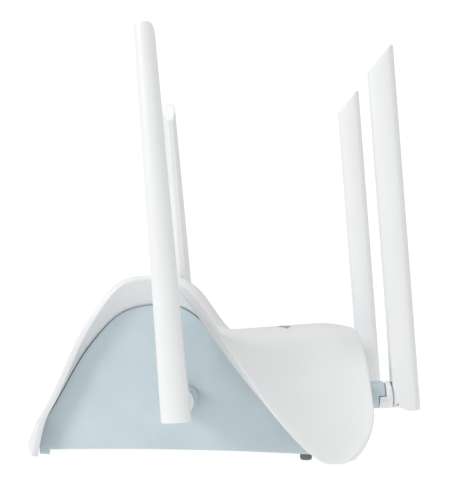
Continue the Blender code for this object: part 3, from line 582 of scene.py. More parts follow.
class NodeTree:
    """Short names for the nodes that the finishes use."""

    def __init__(self, material: bpy.types.Material) -> None:
        """Keeps the material's nodes and links."""
        self.nodes = material.node_tree.nodes
        self.links = material.node_tree.links

    def link(self, source: bpy.types.NodeSocket, node: bpy.types.Node, name: str) -> None:
        """Joins an output to a named input."""
        self.links.new(source, node.inputs[name])

    def object_place(self, scale: Sequence[float] = (1.0, 1.0, 1.0)) -> bpy.types.NodeSocket:
        """Object coordinates, stretched by a scale on each axis."""
        coordinate = self.nodes.new("ShaderNodeTexCoord")
        mapping = self.nodes.new("ShaderNodeMapping")
        mapping.inputs["Scale"].default_value = tuple(scale)
        self.links.new(coordinate.outputs["Object"], mapping.inputs["Vector"])
        return mapping.outputs["Vector"]

    def noise(self, place: bpy.types.NodeSocket, scale: float, detail: float,
              roughness: float) -> bpy.types.NodeSocket:
        """A noise value between 0 and 1."""
        node = self.nodes.new("ShaderNodeTexNoise")
        node.inputs["Scale"].default_value = scale
        node.inputs["Detail"].default_value = detail
        node.inputs["Roughness"].default_value = roughness
        self.links.new(place, node.inputs["Vector"])
        return node.outputs["Fac"]

    def voronoi(self, place: bpy.types.NodeSocket, scale: float, distance: str,
                feature: str) -> bpy.types.NodeSocket:
        """The distance value of a cell pattern."""
        node = self.nodes.new("ShaderNodeTexVoronoi")
        node.distance = distance
        node.feature = feature
        node.inputs["Scale"].default_value = scale
        self.links.new(place, node.inputs["Vector"])
        return node.outputs["Distance"]

    def span(self, value: bpy.types.NodeSocket, low: float, high: float, out_low: float,
             out_high: float) -> bpy.types.NodeSocket:
        """Maps low..high to out_low..out_high and clips."""
        node = self.nodes.new("ShaderNodeMapRange")
        node.inputs["From Min"].default_value = low
        node.inputs["From Max"].default_value = high
        node.inputs["To Min"].default_value = out_low
        node.inputs["To Max"].default_value = out_high
        self.links.new(value, node.inputs["Value"])
        return node.outputs["Result"]

    def mix(self, value: bpy.types.NodeSocket, first: Colour, second: Colour, low: float,
            high: float) -> bpy.types.NodeSocket:
        """Runs from the first colour to the second while the value goes from low to high."""
        ramp = self.nodes.new("ShaderNodeValToRGB")
        ramp.color_ramp.elements[0].position = low
        ramp.color_ramp.elements[0].color = (*first, 1.0)
        ramp.color_ramp.elements[1].position = high
        ramp.color_ramp.elements[1].color = (*second, 1.0)
        self.links.new(value, ramp.inputs["Fac"])
        return ramp.outputs["Color"]

    def blend(self, share: bpy.types.NodeSocket, first: bpy.types.NodeSocket,
              second: Colour) -> bpy.types.NodeSocket:
        """Lays a colour over another where the share is 1."""
        node = self.nodes.new("ShaderNodeMix")
        node.data_type = "RGBA"
        self.links.new(share, node.inputs["Factor"])
        self.links.new(first, node.inputs["A"])
        node.inputs["B"].default_value = (*second, 1.0)
        return node.outputs["Result"]

    def maths(self, operation: str, first: bpy.types.NodeSocket,
              second: bpy.types.NodeSocket | float) -> bpy.types.NodeSocket:
        """A sum of two values, or another operation on them."""
        node = self.nodes.new("ShaderNodeMath")
        node.operation = operation
        self.links.new(first, node.inputs[0])
        if isinstance(second, float):
            node.inputs[1].default_value = second
        else:
            self.links.new(second, node.inputs[1])
        return node.outputs["Value"]

    def bump(self, height: bpy.types.NodeSocket, strength: float, distance: float) -> bpy.types.NodeSocket:
        """A bumped normal."""
        node = self.nodes.new("ShaderNodeBump")
        node.inputs["Strength"].default_value = strength
        node.inputs["Distance"].default_value = distance
        self.links.new(height, node.inputs["Height"])
        return node.outputs["Normal"]


SHELL_WHITE = Moulded("shell_white_satin", (0.80, 0.81, 0.815), (0.785, 0.795, 0.80), 0.40)
ANTENNA_WHITE = Moulded("antenna_white_satin", (0.84, 0.85, 0.855), (0.825, 0.835, 0.84), 0.42)
PANEL_BLUE = Moulded("panel_blue_grey_matt", (0.567, 0.661, 0.704), (0.508, 0.595, 0.636), 0.55,
                     grain_size=0.5, grain_depth=0.012)
TRAY_BLUE = Moulded("tray_blue_grey_matt", (0.44, 0.53, 0.58), (0.42, 0.51, 0.56), 0.62,
                    grain_size=0.8, grain_depth=0.02)
FOOT_RUBBER = Moulded("foot_rubber_grey", (0.20, 0.205, 0.21), (0.16, 0.165, 0.17), 0.82,
                      grain_size=0.6, grain_depth=0.03)
BLACK = Moulded("part_black_matt", (0.022, 0.022, 0.024), (0.016, 0.016, 0.018), 0.5)
CAP_SLEEVE = Moulded("capacitor_sleeve", (0.03, 0.04, 0.12), (0.02, 0.03, 0.09), 0.3)
PAD_SOFT = Moulded("thermal_pad_grey", (0.33, 0.38, 0.42), (0.28, 0.33, 0.37), 0.9)
PORT_GREY = Moulded("port_liner_grey", (0.09, 0.10, 0.11), (0.07, 0.08, 0.09), 0.45)
STEEL = Metal("zinc_plated_steel", (0.62, 0.61, 0.58), (0.45, 0.45, 0.44), 0.32)
TIN = Metal("tinned_sheet", (0.66, 0.66, 0.66), (0.5, 0.5, 0.5), 0.34, brush=(0.1, 1.0, 1.0))
ALUMINIUM = Metal("extruded_aluminium", (0.76, 0.76, 0.78), (0.6, 0.6, 0.62), 0.38, brush=(1.0, 0.05, 1.0))
COPPER = Metal("radiator_copper", (0.82, 0.46, 0.27), (0.6, 0.3, 0.16), 0.34, brush=(1.0, 1.0, 0.05))
GOLD = Metal("contact_gold", (0.9, 0.68, 0.28), (0.75, 0.52, 0.18), 0.22, brush=(1.0, 0.2, 1.0))
SMOKED = Moulded("window_smoked", (0.10, 0.11, 0.12), (0.085, 0.095, 0.105), 0.16,
                 grain_depth=0.001, coat=0.6)
CLEAR = Clear("light_guide_clear", (0.86, 0.9, 0.92), 0.12, 0.85)
LAMP = Clear("port_lamp_lens", (0.62, 0.78, 0.45), 0.2, 0.5)
BOARD = BoardMask("board_green_mask")


# ---------------------------------------------------------------------------------------
# Shell
# ---------------------------------------------------------------------------------------
@dataclass
class Shell:
    """White top shell: a saddle in front, an arch behind, with flared sides."""

    wall: float = 3.0
    rim_swell: float = 1.3
    swell_from: tuple[float, float] = (0.91, 0.45)
    swell_over: tuple[float, float] = (0.06, 0.15)
    edge_round: float = 0.5
    rear_y: float = 73.0
    front_y: float = -100.7
    rim_front_y: float = -89.0
    rim_rear_y: float = 53.0
    rim_half: float = 98.5
    rim_narrowing: float = 20.5
    rim_widest_y: float = 50.0
    corner_start: float = 0.83
    rear_fullness: float = 0.8
    dip: float = 3.5
    dip_place: float = 0.655
    dip_spread: float = 0.055
    lowest: float = 0.7
    columns: int = 120
    rows: int = 130
    rim_knots: tuple[tuple[float, float], ...] = (
        (-89.0, 0.7), (-86.4, 13.5), (-81.3, 26.0), (-67.1, 56.4), (-57.9, 71.5),
        (-48.3, 82.6), (-39.8, 86.4), (-31.9, 86.9), (-22.0, 85.0), (-10.9, 76.2),
        (-0.6, 61.1), (11.7, 42.1), (31.4, 15.4), (41.4, 5.5), (50.0, 0.7), (53.0, 0.7))
    ridge_knots: tuple[tuple[float, float], ...] = (
        (-100.7, 0.7), (-97.6, 7.5), (-88.0, 18.0), (-70.0, 29.5), (-45.0, 41.5),
        (-20.0, 50.0), (1.6, 55.8), (20.0, 57.9), (43.0, 59.5), (62.0, 60.2), (73.0, 58.3))

    def __post_init__(self) -> None:
        """Makes the two height curves from their knots."""
        self.rim_height = natural_curve(self.rim_knots)
        self.ridge_height = natural_curve(self.ridge_knots)

    def half_width(self, y: Array) -> Array:
        """Half width at the rim: a parabola, W - N ((y0 - y) / L)^2 in front of y0."""
        short = np.clip(self.rim_widest_y - y, 0.0, None) / (self.rim_widest_y - self.rim_front_y)
        return self.rim_half - self.rim_narrowing * short ** 2

    def outer(self, u: Array, v: Array) -> Array:
        """Outer face over u from rim to rim (-1 to 1) and v from front to rear (0 to 1).

        A cross section is ridge + (rim - ridge) |u|^n, and n grows from 2 in front to 2.8 at
        the rear.  A shallow valley, a bell curve along times 4 u^2 (1 - u^2) across, parts the
        ridge from the wings.  The section's line in plan bows by u^2 in front, and by the
        rounded corner 1 - sqrt(1 - p^2) at the rear.

        Args:
            u: place across.
            v: place along.

        Returns:
            Points, with the shape of u and v and a last axis of 3.
        """
        ridge_y = self.front_y + (self.rear_y - self.front_y) * v
        rim_y = self.rim_front_y + (self.rim_rear_y - self.rim_front_y) * v
        past = np.clip((np.abs(u) - self.corner_start) / (1 - self.corner_start), 0.0, 1.0)
        rear_share = v ** 3
        bow = (1 - rear_share) * u ** 2 + rear_share * (1 - np.sqrt(1 - past ** 2))
        y = ridge_y + (rim_y - ridge_y) * bow
        ridge = self.ridge_height(ridge_y)
        z = ridge + (self.rim_height(rim_y) - ridge) * np.abs(u) ** (2 + self.rear_fullness * rear_share)
        valley = np.exp(-((v - self.dip_place) / self.dip_spread) ** 2 / 2)
        z = z - self.dip * valley * 4 * u ** 2 * (1 - u ** 2)
        return np.stack(np.broadcast_arrays(u * self.half_width(rim_y), y, z), axis=-1)

    def normal(self, u: Array, v: Array) -> Array:
        """Unit normal of the outer face, from small steps in u and v."""
        e = 1e-3
        u0, u1 = np.clip(u - e, -1, 1), np.clip(u + e, -1, 1)
        v0, v1 = np.clip(v - e, 0, 1), np.clip(v + e, 0, 1)
        across = self.outer(u1, v) - self.outer(u0, v)
        cross = np.cross(across, self.outer(u, v1) - self.outer(u, v0))
        return cross / np.linalg.norm(cross, axis=-1, keepdims=True)

    def skin(self, u: Array, v: Array, depth: float) -> Array:
        """The face that lies depth under the outer face."""
        return self.outer(u, v) - depth * self.normal(u, v)

    def height_at(self, x: Array, y: Array, depth: float) -> Array:
        """Height of a skin straight over points in plan, by Newton's method.

        Args:
            x: places across.
            y: places along.
            depth: how far the skin lies under the outer face.

        Returns:
            Heights.
        """
        x, y = np.broadcast_arrays(np.asarray(x, dtype=float), np.asarray(y, dtype=float))
        u, v = x / self.rim_half, (y - self.front_y) / (self.rear_y - self.front_y)
        e = 1e-4
        for _ in range(30):
            here = self.skin(u, v, depth)
            du = (self.skin(u + e, v, depth) - here) / e
            dv = (self.skin(u, v + e, depth) - here) / e
            miss_x, miss_y = x - here[..., 0], y - here[..., 1]
            area = du[..., 0] * dv[..., 1] - du[..., 1] * dv[..., 0]
            step_u = (miss_x * dv[..., 1] - miss_y * dv[..., 0]) / area
            step_v = (miss_y * du[..., 0] - miss_x * du[..., 1]) / area
            u = np.clip(u + np.clip(step_u, -0.1, 0.1), -0.998, 0.998)
            v = np.clip(v + np.clip(step_v, -0.1, 0.1), 0.002, 0.998)
        return self.skin(u, v, depth)[..., 2]

    def build(self, window: "StatusWindow") -> bpy.types.Object:
        """Two skins that meet in a rounded edge, thicker near the rim, with the window's hole.

        Args:
            window: the status window, which cuts its own opening.

        Returns:
            The finished piece.
        """
        across = edge_spaced(self.columns, 220.0, self.edge_round) * 2 - 1
        along = edge_spaced(self.rows, 200.0, self.edge_round)
        u, v = np.meshgrid(across, along)
        normal = self.normal(u, v)
        near_rim = smoothstep((np.abs(u) - self.swell_from[0]) / self.swell_over[0])
        past_crest = smoothstep((v - self.swell_from[1]) / self.swell_over[1])
        wall = self.wall + self.rim_swell * near_rim * past_crest
        middle = self.outer(u, v) - normal * wall[..., None] / 2
        half = (wall / 2 * edge_fullness(middle, self.edge_round))[..., None]
        skin = Skin()
        for side in (1, -1):
            face = middle + side * half * normal
            face[..., 2] = np.maximum(face[..., 2], self.lowest)
            skin.grid(face)
        shell = skin.build("shell_skin", SHELL_WHITE.material(), 50.0)
        combine(shell, window.tool(), Step.CUT, 50.0)
        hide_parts("top_shell")
        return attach(shell, UNIT)


@dataclass
class StatusWindow:
    """Smoked diamond lens near the rear of the ridge, with a thin white frame."""

    shell: Shell
    y: float = 36.3
    half_x: float = 19.0
    half_y: float = 5.0
    wall: float = 1.8
    frame_width: float = 0.55

    def plan(self, s: Array, t: Array, shrink: float) -> tuple[Array, Array]:
        """Diamond over s and t (-1 to 1): x = a (s + t) / 2 and y = y0 + b (s - t) / 2."""
        slant = math.hypot(self.half_x, self.half_y)
        a = self.half_x - shrink * slant / self.half_y
        b = self.half_y - shrink * slant / self.half_x
        return a * (s + t) / 2, self.y + b * (s - t) / 2

    def tool(self) -> bpy.types.Object:
        """The diamond prism that opens the shell."""
        s, t = np.array([1, 1, -1, -1]), np.array([1, -1, -1, 1])
        x, y = self.plan(s, t, 0.0)
        rings = np.stack([np.column_stack([x, y, np.full(4, z)]) for z in (48.0, 70.0)])
        return Skin().rings(rings).build("window_tool", SHELL_WHITE.material())

    def build(self) -> None:
        """Lens that follows the shell, and the frame round it."""
        places = edge_spaced(16, 24.0, 0.4) * 2 - 1
        s, t = np.meshgrid(places, places)
        x, y = self.plan(s, t, self.frame_width + 0.05)
        top = np.stack([x, y, self.shell.height_at(x, y, 0.25)], axis=-1)
        middle = top - (0.0, 0.0, self.wall / 2)
        half = self.wall / 2 * edge_fullness(middle, 0.4)[..., None] * np.array([0, 0, 1.0])
        lens = Skin().grid(middle + half).grid(middle - half).build("status_lens", SMOKED.material())
        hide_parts("status_window")
        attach(lens, UNIT)
        self.build_frame()

    def build_frame(self) -> None:
        """Thin raised frame: a half round section of fixed width carried round the diamond."""
        steps = np.linspace(0, 1, 13)[:-1]
        corners = [(1, 1), (1, -1), (-1, -1), (-1, 1)]
        s = np.concatenate([a[0] + (b[0] - a[0]) * steps for a, b in zip(corners, corners[1:] + corners[:1])])
        t = np.concatenate([a[1] + (b[1] - a[1]) * steps for a, b in zip(corners, corners[1:] + corners[:1])])
        rings = []
        for angle in np.linspace(0, 2 * math.pi, 9)[:-1]:
            shrink = self.frame_width / 2 * (1 + math.cos(angle)) - 0.02
            x, y = self.plan(s, t, shrink)
            z = self.shell.height_at(x, y, 0.3) + 0.4 * math.sin(angle)
            rings.append(np.stack([x, y, z], axis=-1))
        trim = Skin().loop(np.array(rings)).build("window_frame", ANTENNA_WHITE.material())
        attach(trim, UNIT)


# ---------------------------------------------------------------------------------------
# Panels
# ---------------------------------------------------------------------------------------
@dataclass
class Panels:
    """Blue-grey side panels and the rear panel."""

    shell: Shell
    wall: float = 2.2
    recess: float = 10.5
    front_y: float = -87.0
    toe_y: float = -82.6
    toe_z: float = 0.3
    rear_y: float = 62.0
    rear_half: float = 87.6
    foot_z: float = 2.3
    arch: float = 2.5
    seam: float = 0.5
    gap: float = 0.3
    edge_round: float = 0.45

    def side_x(self, y: Array) -> Array:
        """Outer face of the left side panel: the rim's half width less the recess."""
        return self.shell.half_width(y) - self.recess

    def build_side(self, side: int) -> bpy.types.Object:
        """A curved upright wall from the table's edge up to the shell.

        Args:
            side: 1 for the left, -1 for the right.

        Returns:
            The finished panel, with the hole for its boss.
        """
        rear = self.rear_y - self.wall - self.gap
        y = self.front_y + (rear - self.front_y) * edge_spaced(90, 145.0, self.edge_round)
        y = np.sort(np.concatenate([y, [self.toe_y, self.toe_y + 0.12]]))
        centre, reach = (self.front_y + rear) / 2, (rear - self.front_y) / 2
        x = self.side_x(y)
        foot = self.foot_z + self.arch * (1 - ((y - centre) / reach) ** 2)
        foot = np.where(y <= self.toe_y + 0.01, self.toe_z, foot)
        top = self.shell.height_at(x - self.wall / 2, y, self.shell.wall) - self.seam
        share = edge_spaced(24, 60.0, self.edge_round)[:, None]
        z = foot + (top - foot) * share
        slope = np.gradient(x, y)
        normal = np.stack([np.ones_like(y), -slope, np.zeros_like(y)], axis=-1)
        normal /= np.linalg.norm(normal, axis=-1, keepdims=True)
        middle = np.stack(np.broadcast_arrays(x, y, z), axis=-1) - normal * self.wall / 2
        half = (self.wall / 2 * edge_fullness(middle, self.edge_round))[..., None]
        skin = Skin()
        for turn in (1, -1):
            face = middle + turn * half * normal
            skin.grid(face * (side, 1, 1))
        label = "left" if side > 0 else "right"
        panel = skin.build(f"side_wall_{label}", PANEL_BLUE.material(), 50.0)
        boss = BossPlace.find(f"{label}_side")
        profile = np.array([[6.0, -40.0], [6.0, 0.0]])
        rings = placed(turned_rings(profile, "X", (0, 0, 0), 48), boss.fixed)
        combine(panel, Skin().rings(rings).build("tool", PANEL_BLUE.material()), Step.CUT, 50.0)
        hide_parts(f"side_panel_{label}")
        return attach(panel, UNIT)

    def build_rear(self, sockets: "Sockets") -> bpy.types.Object:
        """The flat rear wall under the shell's arch, with its openings.

        Args:
            sockets: the sockets and buttons, which say where the openings are.

        Returns:
            The finished panel.
        """
        x = (edge_spaced(110, 175.0, self.edge_round) * 2 - 1) * self.rear_half
        y = self.rear_y - self.wall / 2
        top = self.shell.height_at(x, np.full_like(x, y), self.shell.wall) - self.seam
        share = edge_spaced(20, 50.0, self.edge_round)[:, None]
        z = self.foot_z + (top - self.foot_z) * share
        middle = np.stack(np.broadcast_arrays(x, y, z), axis=-1)
        half = (self.wall / 2 * edge_fullness(middle, self.edge_round))[..., None]
        skin = Skin()
        for turn in (1, -1):
            skin.grid(middle + turn * half * np.array([0.0, 1.0, 0.0]))
        panel = skin.build("rear_wall", PANEL_BLUE.material(), 50.0)
        for tool in sockets.tools(self.rear_y):
            combine(panel, tool, Step.CUT, 50.0)
        for label in ("left_rear", "right_rear"):
            boss = BossPlace.find(label)
            profile = np.array([[6.0, -60.0], [6.0, 0.0]])
            rings = placed(turned_rings(profile, "X", (0, 0, 0), 48), boss.fixed)
            combine(panel, Skin().rings(rings).build("tool", PANEL_BLUE.material()), Step.CUT, 50.0)
        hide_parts("rear_panel")
        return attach(panel, UNIT)


# ---------------------------------------------------------------------------------------
# Antennas
# ---------------------------------------------------------------------------------------
@dataclass(frozen=True)
class BossPlace:
    """Where an antenna's three stages lie, read from its two joints.

    In each frame X points out along the boss, Z up the blade and Y along the fold axis.
    """

    fixed: Matrix
    knuckle: Matrix
    blade: Matrix

    @staticmethod
    def find(label: str, lean: float = 4.3) -> "BossPlace":
        """Reads the joints of one antenna.

        Args:
            label: which antenna, such as left_side.
            lean: how far a rear blade leans at rest, in degrees.

        Returns:
            The three frames.
        """
        joints = {j["name"]: j for j in frame["joints"]}
        swivel, fold = joints[f"swivel_{label}"], joints[f"fold_{label}"]
        centre = Vector(swivel["pos_m"])
        out = Vector(swivel["axis"]).normalized()
        if out.dot(Vector((centre.x, centre.y, 0)) if "side" in label else Vector((0, 1, 0))) < 0:
            out = -out
        axis = Vector(fold["axis"]).normalized()
        up = Vector((0, 0, 1))
        fixed = BossPlace.make(centre, out, up.cross(out), up)
        knuckle = BossPlace.make(centre, out, axis, out.cross(axis))
        tilt = Matrix.Rotation(math.radians(0.0 if "side" in label else -lean), 4, "Y")
        pin = BossPlace.make(Vector(fold["pos_m"]), out, axis, out.cross(axis))
        return BossPlace(fixed, knuckle, pin @ tilt)

    @staticmethod
    def make(origin: Vector, x: Vector, y: Vector, z: Vector) -> Matrix:
        """A matrix from an origin and three axes."""
        m = Matrix((x, y, z)).transposed().to_4x4()
        m.translation = origin
        return m


@dataclass
class Antenna:
    """One folding antenna: boss, swivelling knuckle, pin and long paddle."""

    label: str
    length: float = 178.5
    depth: float = 13.2
    foot_half: float = 6.7
    tip_half: float = 4.5
    inner: float = -1.6
    shoulder: float = 7.6
    foot: float = -3.6
    tip_flat: float = 1.6
    tip_slope: float = 1.05
    hinge_flat: float = 5.0
    ridge_flat: float = 1.8
    edge_round: float = 0.9
    drop: float = 4.2
    radius: float = 6.7
    face: float = -1.9
    seam: float = -5.8
    gap: float = 0.3
    lip: float = 3.2
    cut: float = 1.4
    spigot: float = 4.2
    spigot_length: float = 7.7
    lean: float = 4.3
    tongue_half: float = 2.2
    tongue_round: float = 1.9
    panel_wall: float = 2.2

    def __post_init__(self) -> None:
        """Finds the antenna's frames."""
        self.place = BossPlace.find(self.label)
        self.side = 1 if self.label.startswith("left") else -1
        self.on_side = "side" in self.label

    # Paddle -----------------------------------------------------------------------------
    def section(self, z: Array) -> Array:
        """Outlines of the paddle at some heights.

        From the flat inner ridge the flanks swell as sin(pi s / 2)^0.9 to the shoulder, and
        the outer face is half an ellipse.  The ridge widens smoothly near the hinge.

        Args:
            z: one height for each point of each outline, levels by points.

        Returns:
            Depth and width of each point, levels by points by 2.
        """
        outer = self.inner + self.depth
        s = np.linspace(0, 1, 15)
        flank_depth = self.inner + (self.shoulder - self.inner) * s ** 1.4
        flank_share = np.sin((flank_depth - self.inner) / (self.shoulder - self.inner) * math.pi / 2) ** 0.9
        a = np.linspace(0, math.pi / 2, 13)[1:]
        cap_depth = self.shoulder + (outer - self.shoulder) * np.sin(a)
        cap_share = np.cos(a)
        outlines = []
        for level in z:
            height = float(level)
            side = self.foot_half + (self.tip_half - self.foot_half) * (height - self.foot) / self.length
            near_hinge = 1 - float(smoothstep(np.array((height - 10.0) / 24.0)))
            flat = self.ridge_flat + (self.hinge_flat - self.ridge_flat) * near_hinge
            flank = flat + (side - flat) * flank_share
            depth = np.concatenate([flank_depth, cap_depth])
            width = np.concatenate([flank, side * cap_share])
            right = np.stack([depth, -width], axis=1)
            left = np.stack([depth, width], axis=1)[::-1][1:]
            start = np.array([[self.inner, 0.0]])
            outlines.append(smooth_loop(np.vstack([start, right, left]), 96, 0.45))
        return np.array(outlines)

    def foot_line(self, depth: Array) -> Array:
        """Lower end over the depth: round about the pin, flat, then cut away outwards."""
        round_off = -self.inner
        near = -np.sqrt(np.clip(round_off ** 2 - np.minimum(depth, 0) ** 2, 0, None))
        share = np.clip((depth - 1.0) / 4.2, 0.0, 1.0)
        share = 0.5 * share + 0.5 * smoothstep(share)
        far = -round_off + (self.foot + round_off) * share
        return np.where(depth <= 0, near, far)

    def top_line(self, depth: Array) -> Array:
        """Upper end over the depth: level at the outer face, then slanting down inwards."""
        top = self.foot + self.length
        bend = self.inner + self.depth - self.tip_flat - depth
        soft = 0.5 * (bend + np.sqrt(bend ** 2 + 0.5)) - 0.03
        return top - self.tip_slope * soft

    def blade_points(self) -> Array:
        """Rings of the paddle from its closed foot to its closed tip."""
        outer = self.inner + self.depth
        heights = np.concatenate([[-3.0, 0.0, 4.0, 8.0, 12.0, 16.0, 20.0, 24.0, 28.0, 34.0],
                                  np.linspace(44, self.foot + self.length - 15, 14),
                                  self.foot + self.length - np.array([12.0, 8.0, 4.0, 0.0])])
        loops = self.section(heights)
        base, top = loops[0], loops[-1]
        rings = []
        turn = np.linspace(0, math.pi / 2, 6)
        out = outward_normals(base)
        for share in np.linspace(0, 1, 7)[:-1]:
            rings.append(self.end_ring(base, out, share, self.edge_round, False))
        for a in turn[:-1]:
            inset = self.edge_round * (1 - math.sin(a))
            plan = base - out * inset
            z = self.foot_line(plan[:, 0]) + self.edge_round * (1 - math.cos(a))
            rings.append(np.column_stack([plan, z]))
        count = len(heights)
        for k in range(count):
            plan = loops[k]
            low = self.foot_line(plan[:, 0]) + self.edge_round + 0.15 * k
            high = self.top_line(plan[:, 0]) - self.edge_round - 0.15 * (count - 1 - k)
            z = np.clip(np.full(len(plan), heights[k]), low, high)
            rings.append(np.column_stack([plan, z]))
        out = outward_normals(top)
        for a in turn[1:]:
            inset = self.edge_round * (1 - math.cos(a))
            plan = top - out * inset
            z = self.top_line(plan[:, 0]) - self.edge_round * (1 - math.sin(a))
            rings.append(np.column_stack([plan, z]))
        for share in np.linspace(1, 0, 7)[1:]:
            rings.append(self.end_ring(top, out, share, self.edge_round, True))
        points = np.array(rings)
        points[..., 0] = np.minimum(points[..., 0], outer)
        return points

    def end_ring(self, loop: Array, out: Array, share: float, inset: float, top: bool) -> Array:
        """A ring inside an end face, shrunk to its middle line by a share."""
        plan = loop - out * inset
        centre = np.stack([plan[:, 0], np.zeros(len(plan))], axis=1)
        centre[:, 0] = np.clip(centre[:, 0], plan[:, 0].min() + 1.5, plan[:, 0].max() - 1.5)
        plan = centre + (plan - centre) * share
        line = self.top_line if top else self.foot_line
        return np.column_stack([plan, line(plan[:, 0])])

    def build_blade(self) -> bpy.types.Object:
        """The paddle, with the slot at its foot for the knuckle's tongue and the cable."""
        white = ANTENNA_WHITE.material()
        rings = self.blade_points()
        blade = Skin().grid(placed(rings, self.place.blade), wrap=True)
        blade = blade.build(f"paddle_{self.label}", white, 40.0)
        half = self.tongue_half + self.gap
        slot = box_rings((-4.0, -half, -7.0), (self.tongue_round + 0.5, half, 10.7), 0.25, "Y")
        tool = Skin().rings(placed(slot, self.place.blade)).build("tool", white)
        combine(blade, tool, Step.CUT, 40.0)
        hollow = box_rings((0.5, -1.3, 6.0), (9.5, 1.3, 150.0), 0.3, "Z")
        tool = Skin().rings(placed(hollow, self.place.blade)).build("tool", white)
        combine(blade, tool, Step.CUT, 40.0)
        profile = np.array([[0.5, -9.0], [0.5, -3.6], [0.95, -3.6], [0.95, 3.6], [0.5, 3.6], [0.5, 9.0]])
        hole = turned_rings(profile, "Y", (0, 0, 0), 24)
        tool = Skin().rings(placed(hole, self.place.blade)).build("tool", white)
        combine(blade, tool, Step.CUT, 40.0)
        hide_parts(f"blade_{self.label}")
        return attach(blade, f"antenna_{self.label}")

    def build_pin(self) -> bpy.types.Object:
        """The pivot pin, with thin rounded ends that show in the paddle's flanks."""
        end, thick = [(0.0, 4.9, 0), (0.42, 4.9, 0.15), (0.42, 3.6, 0.05)], [(0.75, 3.5, 0.1)]
        corners = end + thick + [(r, -h, round_off) for r, h, round_off in reversed(end + thick)]
        profile = rounded_path(corners)
        rings = placed(turned_rings(profile, "Y", (0, 0, 0), 24), self.place.blade)
        pin = Skin().grid(rings, wrap=True).build(f"pivot_{self.label}", STEEL.material())
        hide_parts(f"pin_{self.label}")
        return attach(pin, f"antenna_{self.label}")

    # Knuckle ----------------------------------------------------------------------------
    def lip_angles(self) -> tuple[tuple[float, float], tuple[float, float]]:
        """Start and end angles of the turn stops on the boss and on the knuckle."""
        if self.on_side:
            return (45, 135), (228, 312)
        return (0.5, 179.5), ((183, 267) if self.side > 0 else (273, 357))

    def sector(self, low: float, high: float, inner: float, outer: float, start: float, end: float,
               place: Matrix, edge: float) -> bpy.types.Object:
        """A piece of a ring round X, for a turn stop.

        Args:
            low: start angle in degrees.
            high: end angle in degrees.
            inner: inner radius.
            outer: outer radius.
            start: lower end along X.
            end: upper end along X.
            place: frame of the piece.
            edge: radius of its edges.

        Returns:
            The solid.
        """
        section = rounded_rectangle(outer - inner, end - start, edge, 3)
        section = section + ((outer + inner) / 2, (end + start) / 2)
        rings = []
        for a in np.radians(np.linspace(low, high, 25)):
            r = section[:, 0]
            rings.append(np.stack([section[:, 1], r * math.cos(a), r * math.sin(a)], axis=-1))
        return Skin().rings(placed(np.array(rings), place)).build("sector", ANTENNA_WHITE.material())

    def build_knuckle(self) -> bpy.types.Object:
        """Barrel with rounded ends and a slanted face, snap spigot, turn stop and tongue.

        Each ring is pushed back by slope (z + drop) towards the slanted face.
        """
        white = ANTENNA_WHITE.material()
        start = self.seam + self.gap / 2
        deep = self.seam - self.spigot_length
        neck = deep - 1.6 - 2 * self.gap
        corners = [(0.0, neck - 1.6, 0), (2.9, neck - 1.6, 0.3), (3.6, neck - 0.9, 0.2), (3.6, neck, 0.1),
                   (2.7, neck, 0.1), (2.7, deep, 0.1), (self.spigot, deep, 0.2), (self.spigot, start, 0.1),
                   (self.radius, start, self.cut), (self.radius, self.face, 1.6), (0.0, self.face, 0)]
        profile = rounded_path(corners, 6)
        rings = turned_rings(profile, "X", (0, 0, 0), 64)
        share = smoothstep((rings[..., 0] - start - 0.8) / (self.face - start - 0.8))
        rings[..., 0] -= share * math.tan(math.radians(self.lean)) * (rings[..., 2] + self.drop)
        knuckle = Skin().grid(placed(rings, self.place.knuckle), wrap=True)
        knuckle = knuckle.build(f"joint_barrel_{self.label}", white, 40.0)
        low, high = self.lip_angles()[1]
        stop = self.sector(low, high, 3.7, self.radius - 0.1, start - self.lip + 0.15, start + 1.9,
                           self.place.knuckle, 0.2)
        combine(knuckle, stop, Step.JOIN, 40.0)
        combine(knuckle, self.tongue(white), Step.JOIN, 40.0)
        bore = turned_rings(np.array([[1.5, -30.0], [1.5, 2.0]]), "X", (0, 0, 0), 24)
        tool = Skin().rings(placed(bore, self.place.knuckle)).build("tool", white)
        combine(knuckle, tool, Step.CUT, 40.0)
        hole = turned_rings(np.array([[0.95, -8.0], [0.95, 8.0]]), "Y", (0, 0, -self.drop), 24)
        tool = Skin().rings(placed(hole, self.place.knuckle)).build("tool", white)
        combine(knuckle, tool, Step.CUT, 40.0)
        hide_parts(f"knuckle_{self.label}")
        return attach(knuckle, f"swivel_{self.label}")

    def tongue(self, finish: bpy.types.Material) -> bpy.types.Object:
        """The round-nosed tongue that the pin goes through."""
        a = np.linspace(-math.pi / 2, math.pi / 2, 17)
        nose = self.tongue_round * np.stack([np.cos(a), np.sin(a)], axis=1)
        outline = np.vstack([[-5.0, -self.tongue_round], nose, [-5.0, self.tongue_round]])
        local = slab_rings(outline, -self.tongue_half, self.tongue_half, 0.25)
        rings = np.stack([local[..., 0], local[..., 2], local[..., 1] - self.drop], axis=-1)
        return Skin().rings(placed(rings, self.place.knuckle)).build("tongue", finish)

